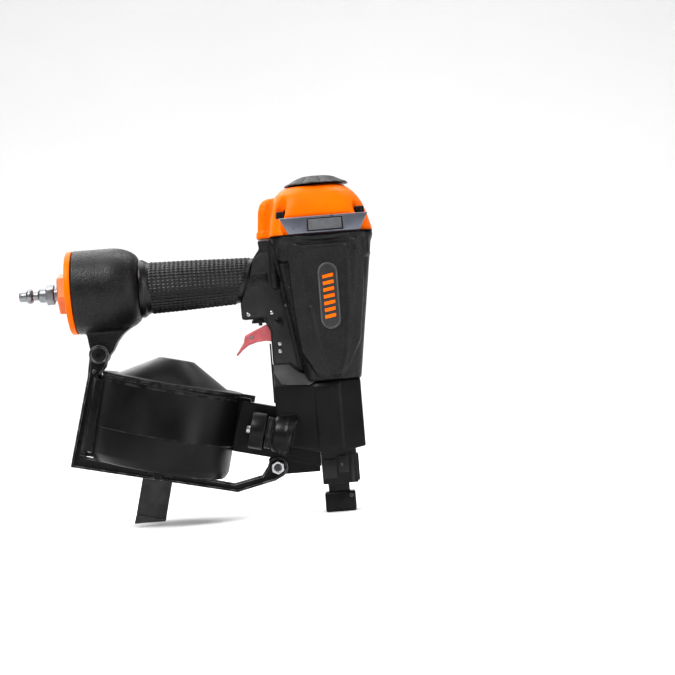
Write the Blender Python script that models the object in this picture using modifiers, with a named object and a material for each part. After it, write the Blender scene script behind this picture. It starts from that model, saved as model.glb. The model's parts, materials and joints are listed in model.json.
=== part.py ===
"""Pneumatic coil roofing nailer, built as separately named pieces.

The driver axis is vertical. Lengths below are in millimetres and become metres in the helpers.
Tool axes: X forward, Y away from the magazine door, Z up along the driver, zero at the contact tip.
Magazine axes: X along the magazine arm, Z along the nail coil's axis.
"""
import math

import bmesh
import bpy
from mathutils import Matrix

MM = 0.001

# Overall lay-out
TOOL_SHIFT_X = 104.0
AXIS_Z = 195.5
GRIP_Z = 194.6
SIDES = 36
SMALL_SIDES = 14
FIT = 0.3

# Barrel of the housing
BODY_TOP_Z = 226.0
BODY_BOTTOM_Z = 108.0
BORE_R = 22.0
BORE_BOTTOM_Z = 130.0
DRIVER_HOLE_R = 4.6
SHIELD_TOP_HALF = 40.2
SHIELD_BOTTOM_HALF = 28.2
SHIELD_Z = (112.0, 216.0)
SHIELD_LEAN = 6.6
WEB_HALF = 11.0
EAR_HALF = 12.0
TRIGGER_SLOT_HALF = 7.5
CAP_BOLT_XY = [(-30.0, -30.5), (33.6, -30.5), (-30.0, 30.5), (33.6, 30.5)]
CAP_BOLT_SEAT_Z = 241.0
CAP_BOLT_HOLE_R = 2.9
BADGE_X = 4.0
BADGE_Y = -35.6
BADGE_Z = 176.0
BADGE_DEPTH = 1.6
BADGE_THICKNESS = 1.0

# Handle and bell
BELL_R = 34.5
BELL_REAR_X = -204.2
GRIP_CORE_R = 15.5
GRIP_WIDTH_RATIO = 0.86
LUG_PIVOT = (-188.0, 143.0)

# Cylinder cap
CAP_BOTTOM_Z = 227.0
CAP_TOP_Z = 268.2
CAP_CORNER = 20.0
PLATE_SEAT_Y = 35.6
CHAMBER_R = 26.0

# Trigger group
TRIGGER_PIVOT = (-39.0, 158.8)
LEVER_PIVOT = (-62.4, 147.5)
VALVE_X = -54.5
PIN_R = 1.5
WEB_PINS = [(-63.3, 166.2), (-44.0, 166.4)]
EAR_PINS = [(-39.4, 140.4), (-39.6, 134.4)]
TRIGGER_PIN_HOLE_R = 2.5
LEVER_PIN_HOLE_R = 1.6

# Nose
COVER_REAR_X = -46.6
COVER_HALF = 22.0
COVER_ROOM_HALF = 19.6
NAIL_TRACK_R = 3.4
WHEEL_XY = (17.0, -15.4)

# Magazine
MAG_ORIGIN = (-147.5, 46.3)
MAG_TILT = 14.0
MAG_R = 58.5
MAG_WALL = 2.6
MAG_HEIGHT = 68.6
DOOR_CUT_ANGLE = 3.8
DOOR_CUT_Y = -12.0
HINGE_XY = (-60.8, -16.2)
POST_R = 5.0
FEEDER_Y = -23.4
FEEDER_Z = 44.9
BRACKET_Y = (-11.3, -8.3)
BRACKET_BOLT_HOLE_R = 3.4
FRONT_BOLT = (-48.8, 39.7)
GUIDE_SCREW = (1.5, -5.4)

# Colours: red, green, blue, roughness, metallic
CAST_BLACK = (0.022, 0.022, 0.023, 0.62, 0.0)
RUBBER_BLACK = (0.014, 0.014, 0.015, 0.72, 0.0)
ORANGE = (0.95, 0.25, 0.012, 0.3, 0.0)
ANODISED_ORANGE = (0.8, 0.2, 0.06, 0.35, 0.8)
CHROME = (0.75, 0.76, 0.78, 0.12, 1.0)
STEEL = (0.45, 0.45, 0.46, 0.35, 1.0)
ZINC = (0.6, 0.6, 0.62, 0.3, 1.0)
BLACK_STEEL = (0.018, 0.018, 0.02, 0.4, 0.3)
PLATE_BLUE = (0.12, 0.13, 0.17, 0.4, 0.4)
PAD_GREY = (0.13, 0.13, 0.14, 0.75, 0.0)
DARK_GREY = (0.06, 0.055, 0.055, 0.45, 0.1)
MAG_BLACK = (0.016, 0.016, 0.018, 0.34, 0.0)
TRIGGER_RED = (0.42, 0.09, 0.1, 0.5, 0.1)
ALUMINIUM = (0.6, 0.6, 0.62, 0.4, 1.0)
BRASS = (0.7, 0.5, 0.2, 0.35, 1.0)
URETHANE = (0.35, 0.22, 0.06, 0.5, 0.0)

for old in list(bpy.data.objects):
    bpy.data.objects.remove(old, do_unlink=True)

scene = bpy.context.scene
parts = bpy.data.collections.new("coil_roofing_nailer")
cutters = bpy.data.collections.new("cutters")
scene.collection.children.link(parts)
scene.collection.children.link(cutters)


def empty(name, parent=None, location=(0.0, 0.0, 0.0), tilt=0.0):
    """Adds an empty at a place in millimetres, turned about Y by tilt degrees."""
    item = bpy.data.objects.new(name, None)
    parts.objects.link(item)
    item.parent = parent
    item.location = [v * MM for v in location]
    item.rotation_euler = (0.0, math.radians(tilt), 0.0)
    return item


TOOL = empty("tool_frame", None, (TOOL_SHIFT_X, 0.0, 0.0))
MAG = empty("magazine_frame", TOOL, (MAG_ORIGIN[0], 0.0, MAG_ORIGIN[1]), MAG_TILT)


def register(item, frame, location=(0.0, 0.0, 0.0), rotation=(0.0, 0.0, 0.0)):
    """Links an object as a part and places it in a frame, in millimetres and degrees."""
    parts.objects.link(item)
    item.parent = frame
    item.location = [v * MM for v in location]
    item.rotation_euler = [math.radians(v) for v in rotation]
    return item


def mesh_object(name, bm, frame, location=(0.0, 0.0, 0.0), rotation=(0.0, 0.0, 0.0)):
    """Turns a bmesh into a part."""
    mesh = bpy.data.meshes.new(name)
    bmesh.ops.recalc_face_normals(bm, faces=bm.faces)
    bm.to_mesh(mesh)
    bm.free()
    return register(bpy.data.objects.new(name, mesh), frame, location, rotation)


def block(name, frame, x, y, z, rotation=(0.0, 0.0, 0.0)):
    """A box between pairs of limits, with its origin at its middle."""
    bm = bmesh.new()
    bmesh.ops.create_cube(bm, size=1.0)
    spans = [(v[1] - v[0]) * MM for v in (x, y, z)]
    bmesh.ops.scale(bm, vec=spans, verts=bm.verts)
    middle = [(v[0] + v[1]) / 2.0 for v in (x, y, z)]
    return mesh_object(name, bm, frame, middle, rotation)


def tapered_block(name, frame, top, bottom, z, corner, segments=4):
    """A box whose top and bottom rectangles (x0, x1, half width) differ, upright edges rounded."""
    bm = bmesh.new()
    bmesh.ops.create_cube(bm, size=2.0)
    for vert in bm.verts:
        x0, x1, half = top if vert.co.z > 0.0 else bottom
        vert.co.x = (x1 if vert.co.x > 0.0 else x0) * MM
        vert.co.y = math.copysign(half * MM, vert.co.y)
        vert.co.z = (z[1] if vert.co.z > 0.0 else z[0]) * MM
    item = mesh_object(name, bm, frame)
    weights = item.data.attributes.new("bevel_weight_edge", "FLOAT", "EDGE")
    for edge in item.data.edges:
        a, b = (item.data.vertices[i].co for i in edge.vertices)
        if abs(a.z - b.z) > 1.0 * MM:
            weights.data[edge.index].value = 1.0
    rounding = item.modifiers.new("corners", "BEVEL")
    rounding.limit_method = "WEIGHT"
    rounding.width = corner * MM
    rounding.segments = segments
    return item


def rod(name, frame, axis, start, radius, span, sides=SMALL_SIDES, end_radius=None, spin=0.0):
    """A cylinder or cone along an axis letter; start gives the other two coordinates."""
    bm = bmesh.new()
    length = (span[1] - span[0]) * MM
    last = radius if end_radius is None else end_radius
    bmesh.ops.create_cone(bm, cap_ends=True, cap_tris=False, segments=sides,
                          radius1=radius * MM, radius2=last * MM, depth=length)
    turn = Matrix.Rotation(math.radians(spin), 3, "Z")
    bmesh.ops.rotate(bm, cent=(0.0, 0.0, 0.0), matrix=turn, verts=bm.verts)
    middle = (span[0] + span[1]) / 2.0
    if axis == "X":
        return mesh_object(name, bm, frame, (middle, start[0], start[1]), (0.0, 90.0, 0.0))
    if axis == "Y":
        return mesh_object(name, bm, frame, (start[0], middle, start[1]), (-90.0, 0.0, 0.0))
    return mesh_object(name, bm, frame, (start[0], start[1], middle))


def turned(name, frame, profile, location=(0.0, 0.0, 0.0), rotation=(0.0, 0.0, 0.0), sides=SIDES):
    """A closed profile of (radius, height) turned about the frame's Z."""
    mesh = bpy.data.meshes.new(name)
    points = [(r * MM, 0.0, h * MM) for r, h in profile]
    closes = profile[0][0] > 0.0 or profile[-1][0] > 0.0
    edges = [(i, i + 1) for i in range(len(points) - 1)]
    if closes:
        edges.append((len(points) - 1, 0))
    mesh.from_pydata(points, edges, [])
    item = register(bpy.data.objects.new(name, mesh), frame, location, rotation)
    screw = item.modifiers.new("turn", "SCREW")
    screw.steps = sides
    screw.render_steps = sides
    screw.use_merge_vertices = True
    screw.merge_threshold = 0.00001
    return item


def along_x(name, profile, z, sides=SIDES):
    """A profile of (radius, x) turned about a line along X at height z."""
    return turned(name, TOOL, profile, (0.0, 0.0, z), (0.0, 90.0, 0.0), sides)


def slab(name, frame, outline, thickness, location, rotation):
    """An outline made solid to a thickness, as a welded mesh part."""
    curve = bpy.data.curves.new(name, "CURVE")
    curve.dimensions = "2D"
    curve.fill_mode = "BOTH"
    curve.extrude = thickness / 2.0 * MM
    spline = curve.splines.new("POLY")
    spline.points.add(len(outline) - 1)
    for point, (x, z) in zip(spline.points, outline):
        point.co = (x * MM, z * MM, 0.0, 1.0)
    spline.use_cyclic_u = True
    source = bpy.data.objects.new(name + "_curve", curve)
    scene.collection.objects.link(source)
    graph = bpy.context.evaluated_depsgraph_get()
    mesh = bpy.data.meshes.new_from_object(source.evaluated_get(graph))
    bpy.data.objects.remove(source, do_unlink=True)
    bm = bmesh.new()
    bm.from_mesh(mesh)
    bmesh.ops.remove_doubles(bm, verts=bm.verts, dist=0.000001)
    bmesh.ops.recalc_face_normals(bm, faces=bm.faces)
    bm.to_mesh(mesh)
    bm.free()
    mesh.name = name
    return register(bpy.data.objects.new(name, mesh), frame, location, rotation)


def plate(name, frame, outline, y):
    """An outline of (x, z) points made solid between two y limits."""
    middle = (0.0, (y[0] + y[1]) / 2.0, 0.0)
    return slab(name, frame, outline, y[1] - y[0], middle, (90.0, 0.0, 0.0))


def stacked(name, frame, levels, steps=5):
    """Rounded rectangles (z, x0, x1, half width, corner radius) joined from bottom to top."""
    bm = bmesh.new()
    rings = []
    for z, x0, x1, half, corner in levels:
        ring = []
        for quarter, (side_x, side_y) in enumerate(((1, 1), (-1, 1), (-1, -1), (1, -1))):
            centre_x = x1 - corner if side_x > 0 else x0 + corner
            for i in range(steps + 1):
                turn = math.radians(90.0 * (quarter + i / steps))
                x = centre_x + corner * math.cos(turn)
                y = side_y * (half - corner) + corner * math.sin(turn)
                ring.append(bm.verts.new((x * MM, y * MM, z * MM)))
        rings.append(ring)
    count = len(rings[0])
    for low, high in zip(rings, rings[1:]):
        for i in range(count):
            j = (i + 1) % count
            bm.faces.new((low[i], low[j], high[j], high[i]))
    bm.faces.new(rings[0])
    bm.faces.new(rings[-1])
    return mesh_object(name, bm, frame)


def join(item, tool, operation):
    """Adds or removes another solid with a Boolean and hides that solid."""
    parts.objects.unlink(tool)
    cutters.objects.link(tool)
    tool.hide_render = True
    tool.display_type = "WIRE"
    step = item.modifiers.new(tool.name, "BOOLEAN")
    step.operation = operation
    step.solver = "EXACT"
    step.object = tool


def add(item, *tools):
    for tool in tools:
        join(item, tool, "UNION")


def cut(item, *tools):
    for tool in tools:
        join(item, tool, "DIFFERENCE")


def shared(item, tool):
    """Keeps only what two solids have in common."""
    join(item, tool, "INTERSECT")
    return item


def bevel(item, width, segments=2, angle=35.0):
    """Rounds the sharp edges."""
    rounding = item.modifiers.new("edges", "BEVEL")
    rounding.limit_method = "ANGLE"
    rounding.angle_limit = math.radians(angle)
    rounding.width = width * MM
    rounding.segments = segments
    return item


def paint(item, look):
    """Gives a part its own material."""
    material = bpy.data.materials.new(item.name)
    material.use_nodes = True
    shader = material.node_tree.nodes["Principled BSDF"]
    shader.inputs["Base Color"].default_value = (look[0], look[1], look[2], 1.0)
    shader.inputs["Roughness"].default_value = look[3]
    shader.inputs["Metallic"].default_value = look[4]
    item.data.materials.clear()
    item.data.materials.append(material)
    return item


# ---------------------------------------------------------------- housing and handle
def shield_outline():
    """The raised shield seen from the side: straight edges above, a half ellipse below."""
    middle_x, bend_z, half_width = 4.8, 136.0, 13.5
    reach = bend_z - SHIELD_Z[0]
    outline = [(-20.6, 214.4), (3.0, 209.6), (30.4, 213.4)]
    pieces = 10
    for i in range(pieces + 1):
        turn = math.pi * i / pieces
        outline.append((middle_x + half_width * math.cos(turn),
                        bend_z - reach * math.sin(turn)))
    return outline


def main_housing():
    body = tapered_block("main_housing", TOOL, (-39.0, 42.0, 38.0), (-20.0, 25.0, 25.5),
                         (BODY_BOTTOM_Z, BODY_TOP_Z), 13.0, 3)
    add(body, tapered_block("top_flange", TOOL, (-40.5, 43.0, 38.6), (-38.0, 41.0, 37.0),
                            (219.0, BODY_TOP_Z), 13.0, 3))
    slope = tapered_block("shield_slope", TOOL, (-24.0, 34.0, SHIELD_TOP_HALF),
                          (-24.0, 34.0, SHIELD_BOTTOM_HALF), SHIELD_Z, 2.0, 1)
    add(body, shared(slope, plate("shield_outline", TOOL, shield_outline(), (-60.0, 60.0))))
    add(body, plate("web", TOOL, [(-20.0, 223.0), (-48.0, 223.0), (-56.0, 212.5), (-69.3, 175.3),
                                  (-69.0, 162.2), (-20.0, 162.2)], (-WEB_HALF, WEB_HALF)))
    add(body, plate("ears", TOOL, [(-20.0, 172.0), (-52.0, 170.0), (-52.0, 162.2), (-46.3, 152.0),
                                   (-46.3, 123.2), (-31.0, 123.2), (-20.0, 112.0),
                                   (-12.0, BODY_BOTTOM_Z), (5.0, BODY_BOTTOM_Z), (5.0, 172.0)],
                    (-EAR_HALF, EAR_HALF)))
    add(body, tapered_block("rear_passage", TOOL, (-52.0, -25.0, 13.0), (-45.0, -25.0, 8.0),
                            (190.0, BODY_TOP_Z), 5.0, 3))
    for side in (-1.0, 1.0):
        place = (-39.5, side * 10.6)
        add(body, rod("air_rib", TOOL, "Z", place, 3.8, (186.0, BODY_TOP_Z - 0.4), 16))
    for place in CAP_BOLT_XY:
        add(body, rod("screw_boss", TOOL, "Z", place, 6.6, (206.0, BODY_TOP_Z), SMALL_SIDES))
    core = rod("handle_core", TOOL, "X", (0.0, GRIP_Z), GRIP_CORE_R, (-158.0, -45.0), 24)
    core.scale = (1.0, GRIP_WIDTH_RATIO, 1.0)
    add(body, core)
    add(body, along_x("bell", [(0.0, -151.0), (24.0, -151.0), (27.6, -154.6), (31.2, -160.2),
                               (33.6, -167.0), (BELL_R, -174.0), (BELL_R, BELL_REAR_X),
                               (0.0, BELL_REAR_X)], AXIS_Z))
    add(body, plate("lug", TOOL, [(-199.6, 172.0), (-197.6, 161.0), (-195.4, 146.0),
                                  (-194.0, 142.0), (-181.0, 141.0), (-176.4, 146.0),
                                  (-172.6, 153.0), (-167.0, 159.4), (-160.0, 164.0),
                                  (-156.0, 172.0)], (-8.0, 8.0)))
    add(body, rod("lug_end", TOOL, "Y", LUG_PIVOT, 8.0, (-7.96, 7.96), 24))

    cut(body, along_x("air_chamber", [(0.0, -62.0), (9.0, -62.0), (9.0, -155.0), (29.5, -172.0),
                                      (29.5, BELL_REAR_X - 5.0), (0.0, BELL_REAR_X - 5.0)],
                      AXIS_Z, sides=24))
    cut(body, rod("cylinder_bore", TOOL, "Z", (0.0, 0.0), BORE_R,
                  (BORE_BOTTOM_Z, BODY_TOP_Z + 5.0), SIDES))
    cut(body, rod("driver_hole", TOOL, "Z", (0.0, 0.0), DRIVER_HOLE_R,
                  (100.0, BORE_BOTTOM_Z + 2.0), SMALL_SIDES))
    cut(body, block("trigger_slot", TOOL, (-75.0, -27.0), (-TRIGGER_SLOT_HALF, TRIGGER_SLOT_HALF),
                    (118.0, 161.8)))
    cut(body, rod("valve_hole", TOOL, "Z", (VALVE_X, 0.0), 6.4, (150.0, 189.0), SMALL_SIDES))
    cut(body, rod("trigger_pin_hole", TOOL, "Y", TRIGGER_PIVOT, TRIGGER_PIN_HOLE_R,
                  (-15.0, 15.0), 16))
    for place in WEB_PINS + EAR_PINS:
        cut(body, rod("pin_hole", TOOL, "Y", place, PIN_R + FIT, (-15.0, 15.0), 12))
    cut(body, rod("lug_hole", TOOL, "Y", LUG_PIVOT, BRACKET_BOLT_HOLE_R, (-10.0, 10.0), SMALL_SIDES))
    for place in CAP_BOLT_XY:
        cut(body, rod("screw_hole", TOOL, "Z", place, CAP_BOLT_HOLE_R,
                      (209.0, BODY_TOP_Z + 4.0), 12))
    cut(body, pill_plate("badge_recess", 14.4, 52.1, BADGE_DEPTH * 2.0, 0.0))
    return paint(body, CAST_BLACK)


def pill_plate(name, width, height, thickness, inset, steps=8):
    """An upright pill lying in the shield's sloping face."""
    radius = width / 2.0
    reach = height / 2.0 - radius
    outline = []
    for end, start in ((1.0, 0.0), (-1.0, 180.0)):
        for i in range(steps + 1):
            turn = math.radians(start + 180.0 * i / steps)
            outline.append((radius * math.cos(turn), end * reach + radius * math.sin(turn)))
    return slab(name, TOOL, outline, thickness, (BADGE_X, BADGE_Y + inset, BADGE_Z),
                (90.0 + SHIELD_LEAN, 0.0, 0.0))


def grip_sleeve():
    inner = GRIP_CORE_R + FIT
    sleeve = along_x("grip_sleeve", [(inner, -45.0), (18.2, -45.0), (20.2, -100.0), (21.6, -142.0),
                                     (23.6, -146.5), (24.6, -147.5), (24.6, -150.0), (23.8, -150.6),
                                     (inner, -150.6)], GRIP_Z)
    sleeve.scale = (1.0, GRIP_WIDTH_RATIO, 1.0)
    front = empty("grip_front", TOOL, (-62.65, 0.0, 193.9), 19.7)
    cut(sleeve, block("grip_trim", front, (-0.4, 80.0), (-40.0, 40.0), (-60.0, 60.0)))
    return paint(sleeve, RUBBER_BLACK)


def end_cap():
    rear = BELL_REAR_X - FIT
    disc = along_x("end_cap", [(9.5, rear), (33.9, rear), (BELL_R, rear - 0.8),
                               (BELL_R, rear - 3.9), (33.5, rear - 4.9), (9.5, rear - 4.9)], AXIS_Z)
    return paint(disc, ORANGE)


def inlet_bushing():
    hexagon = rod("inlet_bushing", TOOL, "X", (0.0, AXIS_Z), 17.6, (-218.0, -209.7), 6, spin=14.0)
    bevel(hexagon, 0.9, 1)
    add(hexagon, rod("bushing_spigot", TOOL, "X", (0.0, AXIS_Z), 9.2, (-212.0, -200.0), 24))
    cut(hexagon, rod("bushing_bore", TOOL, "X", (0.0, AXIS_Z), 6.8, (-225.0, -195.0), 24))
    return paint(hexagon, ANODISED_ORANGE)


def air_plug():
    plug = along_x("air_plug", [(2.2, -205.0), (6.4, -205.0), (6.4, -219.5), (5.7, -219.5),
                                (5.9, -227.0), (5.9, -233.6), (3.7, -235.6), (3.7, -239.4),
                                (5.95, -240.9), (5.95, -243.6), (4.2, -245.2), (4.0, -250.2),
                                (3.4, -251.0), (2.2, -251.0)], AXIS_Z, sides=24)
    add(plug, rod("plug_hex", TOOL, "X", (0.0, AXIS_Z), 8.2, (-226.0, -218.4), 6))
    cut(plug, rod("plug_bore", TOOL, "X", (0.0, AXIS_Z), 2.3, (-260.0, -195.0), 16))
    return paint(plug, CHROME)


# ---------------------------------------------------------------- cylinder cap
def cap_gasket():
    gasket = tapered_block("cap_gasket", TOOL, (-40.2, 42.6, 38.2), (-40.2, 42.6, 38.2),
                           (BODY_TOP_Z + 0.2, CAP_BOTTOM_Z - 0.2), 13.0, 3)
    cut(gasket, rod("gasket_bore", TOOL, "Z", (0.0, 0.0), CHAMBER_R, (220.0, 235.0), 24))
    for place in CAP_BOLT_XY:
        cut(gasket, rod("gasket_hole", TOOL, "Z", place, CAP_BOLT_HOLE_R, (220.0, 235.0), 12))
    return paint(gasket, RUBBER_BLACK)


def cylinder_cap():
    cap = stacked("cylinder_cap", TOOL,
                  [(CAP_BOTTOM_Z + 0.6, -38.8, 41.4, 37.6, 16.0), (239.0, -37.6, 39.8, 36.6, 17.0),
                   (247.0, -36.6, 37.0, 34.8, 18.0), (254.5, -36.4, 33.8, 32.4, CAP_CORNER),
                   (260.6, -35.2, 29.0, 29.4, CAP_CORNER), (265.0, -31.6, 23.6, 25.6, 18.0),
                   (267.4, -26.4, 19.0, 21.0, 16.0), (CAP_TOP_Z, -22.0, 15.0, 17.0, 14.0)])
    skirt = tapered_block("cap_skirt", TOOL, (-39.4, 41.4, 36.6), (-41.0, 43.0, 38.6),
                          (CAP_BOTTOM_Z, CAP_BOLT_SEAT_Z), 11.0, 3)
    passage = tapered_block("cap_passage", TOOL, (-49.0, -20.0, 12.0), (-52.5, -20.0, 15.0),
                            (CAP_BOTTOM_Z + 0.3, 258.4), 6.0, 3)
    add(cap, bevel(skirt, 1.0, 2), bevel(passage, 2.4, 3))
    cut(cap, rod("valve_chamber", TOOL, "Z", (0.0, 0.0), CHAMBER_R, (220.0, 247.0), SIDES))
    cut(cap, rod("exhaust_hole", TOOL, "Z", (0.0, 0.0), 3.4, (240.0, 275.0), 16))
    for place in CAP_BOLT_XY:
        cut(cap, rod("head_recess", TOOL, "Z", place, 5.3, (CAP_BOLT_SEAT_Z, 280.0), SMALL_SIDES))
        cut(cap, rod("bolt_passage", TOOL, "Z", place, CAP_BOLT_HOLE_R, (220.0, 250.0), 12))
    for side in (-1.0, 1.0):
        limits = sorted((side * PLATE_SEAT_Y, side * 60.0))
        cut(cap, plate("plate_seat", TOOL, [(-33.0, 242.0), (41.2, 242.0), (34.0, 220.0),
                                            (-26.0, 220.0)], limits))
    return paint(cap, ORANGE)


def cap_bolt(number, place):
    bolt = rod("cap_bolt_%d" % number, TOOL, "Z", place, 4.3,
               (CAP_BOLT_SEAT_Z + FIT, 247.4), SMALL_SIDES)
    add(bolt, rod("bolt_shank", TOOL, "Z", place, 2.5, (210.0, 243.0), 8))
    cut(bolt, rod("bolt_socket", TOOL, "Z", place, 2.3, (244.6, 250.0), 6))
    return paint(bolt, BLACK_STEEL)


def side_plate(side, label):
    near = side * (PLATE_SEAT_Y + FIT)
    far = side * (PLATE_SEAT_Y + 5.0)
    item = plate("side_plate_" + label, TOOL, [(-31.7, 241.4), (39.9, 241.4), (33.3, 228.5),
                                               (-25.0, 228.5)], sorted((near, far)))
    outer = side * (PLATE_SEAT_Y + 7.0)
    floor = side * (PLATE_SEAT_Y + 3.6)
    bevel(item, 0.9, 2)
    cut(item, block("pad_pocket", TOOL, (-9.0, 19.0), sorted((floor, outer)), (229.9, 239.9)))
    return paint(item, PLATE_BLUE)


def side_pad(side, label):
    limits = sorted((side * (PLATE_SEAT_Y + 3.9), side * (PLATE_SEAT_Y + 5.5)))
    item = block("side_pad_" + label, TOOL, (-8.6, 18.6), limits, (230.3, 239.5))
    return paint(bevel(item, 0.4, 2), PAD_GREY)


def exhaust_deflector():
    dome = turned("exhaust_deflector", TOOL, [(3.6, 276.0), (13.0, 276.0), (17.5, 274.8),
                                              (22.0, 272.3), (26.5, 269.2), (26.5, CAP_TOP_Z + FIT),
                                              (3.6, CAP_TOP_Z + FIT)])
    cut(dome, rod("screw_recess", TOOL, "Z", (0.0, 0.0), 6.2, (272.0, 280.0), 24))
    notches = 10
    for i in range(notches):
        turn = 2.0 * math.pi * (i + 0.5) / notches
        place = (30.2 * math.cos(turn), 30.2 * math.sin(turn))
        cut(dome, rod("scallop", TOOL, "Z", place, 6.2, (271.0, 280.0), 10))
    return paint(dome, DARK_GREY)


def deflector_screw():
    screw = rod("deflector_screw", TOOL, "Z", (0.0, 0.0), 5.7, (272.3, 275.4), 16)
    add(screw, rod("screw_shank", TOOL, "Z", (0.0, 0.0), 3.0, (250.0, 273.0), 16))
    cut(screw, rod("screw_socket", TOOL, "Z", (0.0, 0.0), 2.6, (273.6, 280.0), 6))
    return paint(bevel(screw, 0.5, 1, 50.0), BLACK_STEEL)


# ---------------------------------------------------------------- cylinder and piston
def cylinder_sleeve():
    sleeve = turned("cylinder_sleeve", TOOL, [(18.6, 225.4), (21.7, 225.4), (21.7, 130.3),
                                              (18.6, 130.3)])
    return paint(sleeve, ALUMINIUM)


def bumper():
    ring = turned("bumper", TOOL, [(4.6, 138.4), (15.0, 138.4), (18.2, 135.0), (18.2, 130.4),
                                   (4.6, 130.4)], sides=24)
    return paint(ring, URETHANE)


def piston():
    disc = turned("piston", TOOL, [(0.0, 210.0), (18.2, 210.0), (18.2, 203.4), (15.6, 203.4),
                                   (15.6, 199.4), (18.2, 199.4), (18.2, 195.4), (8.0, 195.4),
                                   (8.0, 191.0), (0.0, 191.0)], sides=24)
    return paint(disc, ALUMINIUM)


def piston_seal():
    ring = turned("piston_seal", TOOL, [(15.9, 203.1), (18.35, 203.1), (18.35, 199.7),
                                        (15.9, 199.7)], sides=24)
    return paint(ring, RUBBER_BLACK)


def driver_blade():
    blade = rod("driver_blade", TOOL, "Z", (0.0, 0.0), 2.7, (62.0, 190.7), 16)
    return paint(blade, STEEL)


def head_valve():
    ring = turned("head_valve", TOOL, [(15.0, 240.0), (25.6, 240.0), (25.6, 228.4), (20.0, 227.3),
                                       (15.0, 227.3)], sides=24)
    return paint(ring, ALUMINIUM)


# ---------------------------------------------------------------- trigger group
def cross_pin(name, place, radius, half, look, sides=12):
    pin = rod(name, TOOL, "Y", place, radius, (-half, half), sides)
    return paint(bevel(pin, 0.3, 1, 50.0), look)


def trigger_valve_body():
    body = turned("trigger_valve_body", TOOL, [(1.9, 186.0), (6.1, 186.0), (6.1, 161.4), (7.0, 161.4),
                                               (7.0, 158.9), (1.9, 158.9)],
                  (VALVE_X, 0.0, 0.0), sides=24)
    return paint(body, BRASS)


def valve_stem():
    stem = rod("valve_stem", TOOL, "Z", (VALVE_X, 0.0), 1.6, (156.8, 178.0), 12)
    return paint(bevel(stem, 0.4, 2, 50.0), STEEL)


TRIGGER_FRAME = empty("trigger_frame", TOOL, (TRIGGER_PIVOT[0], 0.0, TRIGGER_PIVOT[1]))
LEVER_FRAME = empty("lever_frame", TRIGGER_FRAME, (LEVER_PIVOT[0] - TRIGGER_PIVOT[0], 0.0,
                                                   LEVER_PIVOT[1] - TRIGGER_PIVOT[1]))


def about(pivot, points):
    """Outline points measured from a pivot."""
    return [(x - pivot[0], z - pivot[1]) for x, z in points]


def trigger():
    outline = about(TRIGGER_PIVOT, [(-36.2, 161.2), (-41.5, 161.3), (-49.2, 157.4), (-67.7, 149.6),
                                    (-69.2, 143.8), (-76.5, 133.3), (-75.1, 133.2), (-70.6, 137.6),
                                    (-65.4, 141.2), (-58.6, 143.2), (-50.9, 143.9), (-45.8, 142.9),
                                    (-44.2, 149.4), (-40.0, 155.0), (-36.2, 156.4)])
    body = plate("trigger", TRIGGER_FRAME, outline, (-7.0, 7.0))
    bevel(body, 0.8, 1)
    channel = about(TRIGGER_PIVOT, [(-30.0, 170.0), (-72.0, 170.0), (-66.6, 147.0), (-64.0, 144.6),
                                    (-52.0, 147.0), (-51.0, 130.0), (-30.0, 130.0)])
    cut(body, plate("trigger_channel", TRIGGER_FRAME, channel, (-4.7, 4.7)))
    cut(body, rod("trigger_hole", TRIGGER_FRAME, "Y", (0.0, 0.0), TRIGGER_PIN_HOLE_R, (-9.0, 9.0), 16))
    cut(body, rod("lever_hole", LEVER_FRAME, "Y", (0.0, 0.0), LEVER_PIN_HOLE_R, (-9.0, 9.0), 12))
    return paint(body, TRIGGER_RED)


def lever_pin():
    pin = rod("lever_pin", LEVER_FRAME, "Y", (0.0, 0.0), 1.3, (-7.3, 7.3), 12)
    return paint(bevel(pin, 0.25, 1, 50.0), STEEL)


def contact_lever():
    outline = about(LEVER_PIVOT, [(-64.6, 146.6), (-62.4, 145.2), (-60.2, 146.4), (-59.2, 148.6),
                                  (-46.4, 150.2), (-46.4, 152.2), (-60.0, 150.8), (-63.6, 149.8)])
    lever = plate("contact_lever", LEVER_FRAME, outline, (-4.2, 4.2))
    cut(lever, rod("lever_bore", LEVER_FRAME, "Y", (0.0, 0.0), LEVER_PIN_HOLE_R, (-9.0, 9.0), 12))
    return paint(lever, ZINC)


# ---------------------------------------------------------------- nose and contact arm
def nose_body():
    nose = block("nose_body", TOOL, (-13.0, 16.0), (-9.0, 9.0), (22.6, 107.6))
    add(nose, block("barrel", TOOL, (-8.4, 8.4), (-6.0, 6.0), (9.6, 30.0)))
    add(nose, block("front_guard", TOOL, (10.0, 17.6), (-7.0, 7.0), (24.0, 46.0)))
    bevel(nose, 0.7, 2)
    cut(nose, rod("nail_track", TOOL, "Z", (0.0, 0.0), NAIL_TRACK_R, (0.0, 120.0), SMALL_SIDES))
    cut(nose, block("feed_slot", TOOL, (-20.0, 0.0), (-2.9, 2.9), (52.0, 92.0)))
    return paint(nose, CAST_BLACK)


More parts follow.
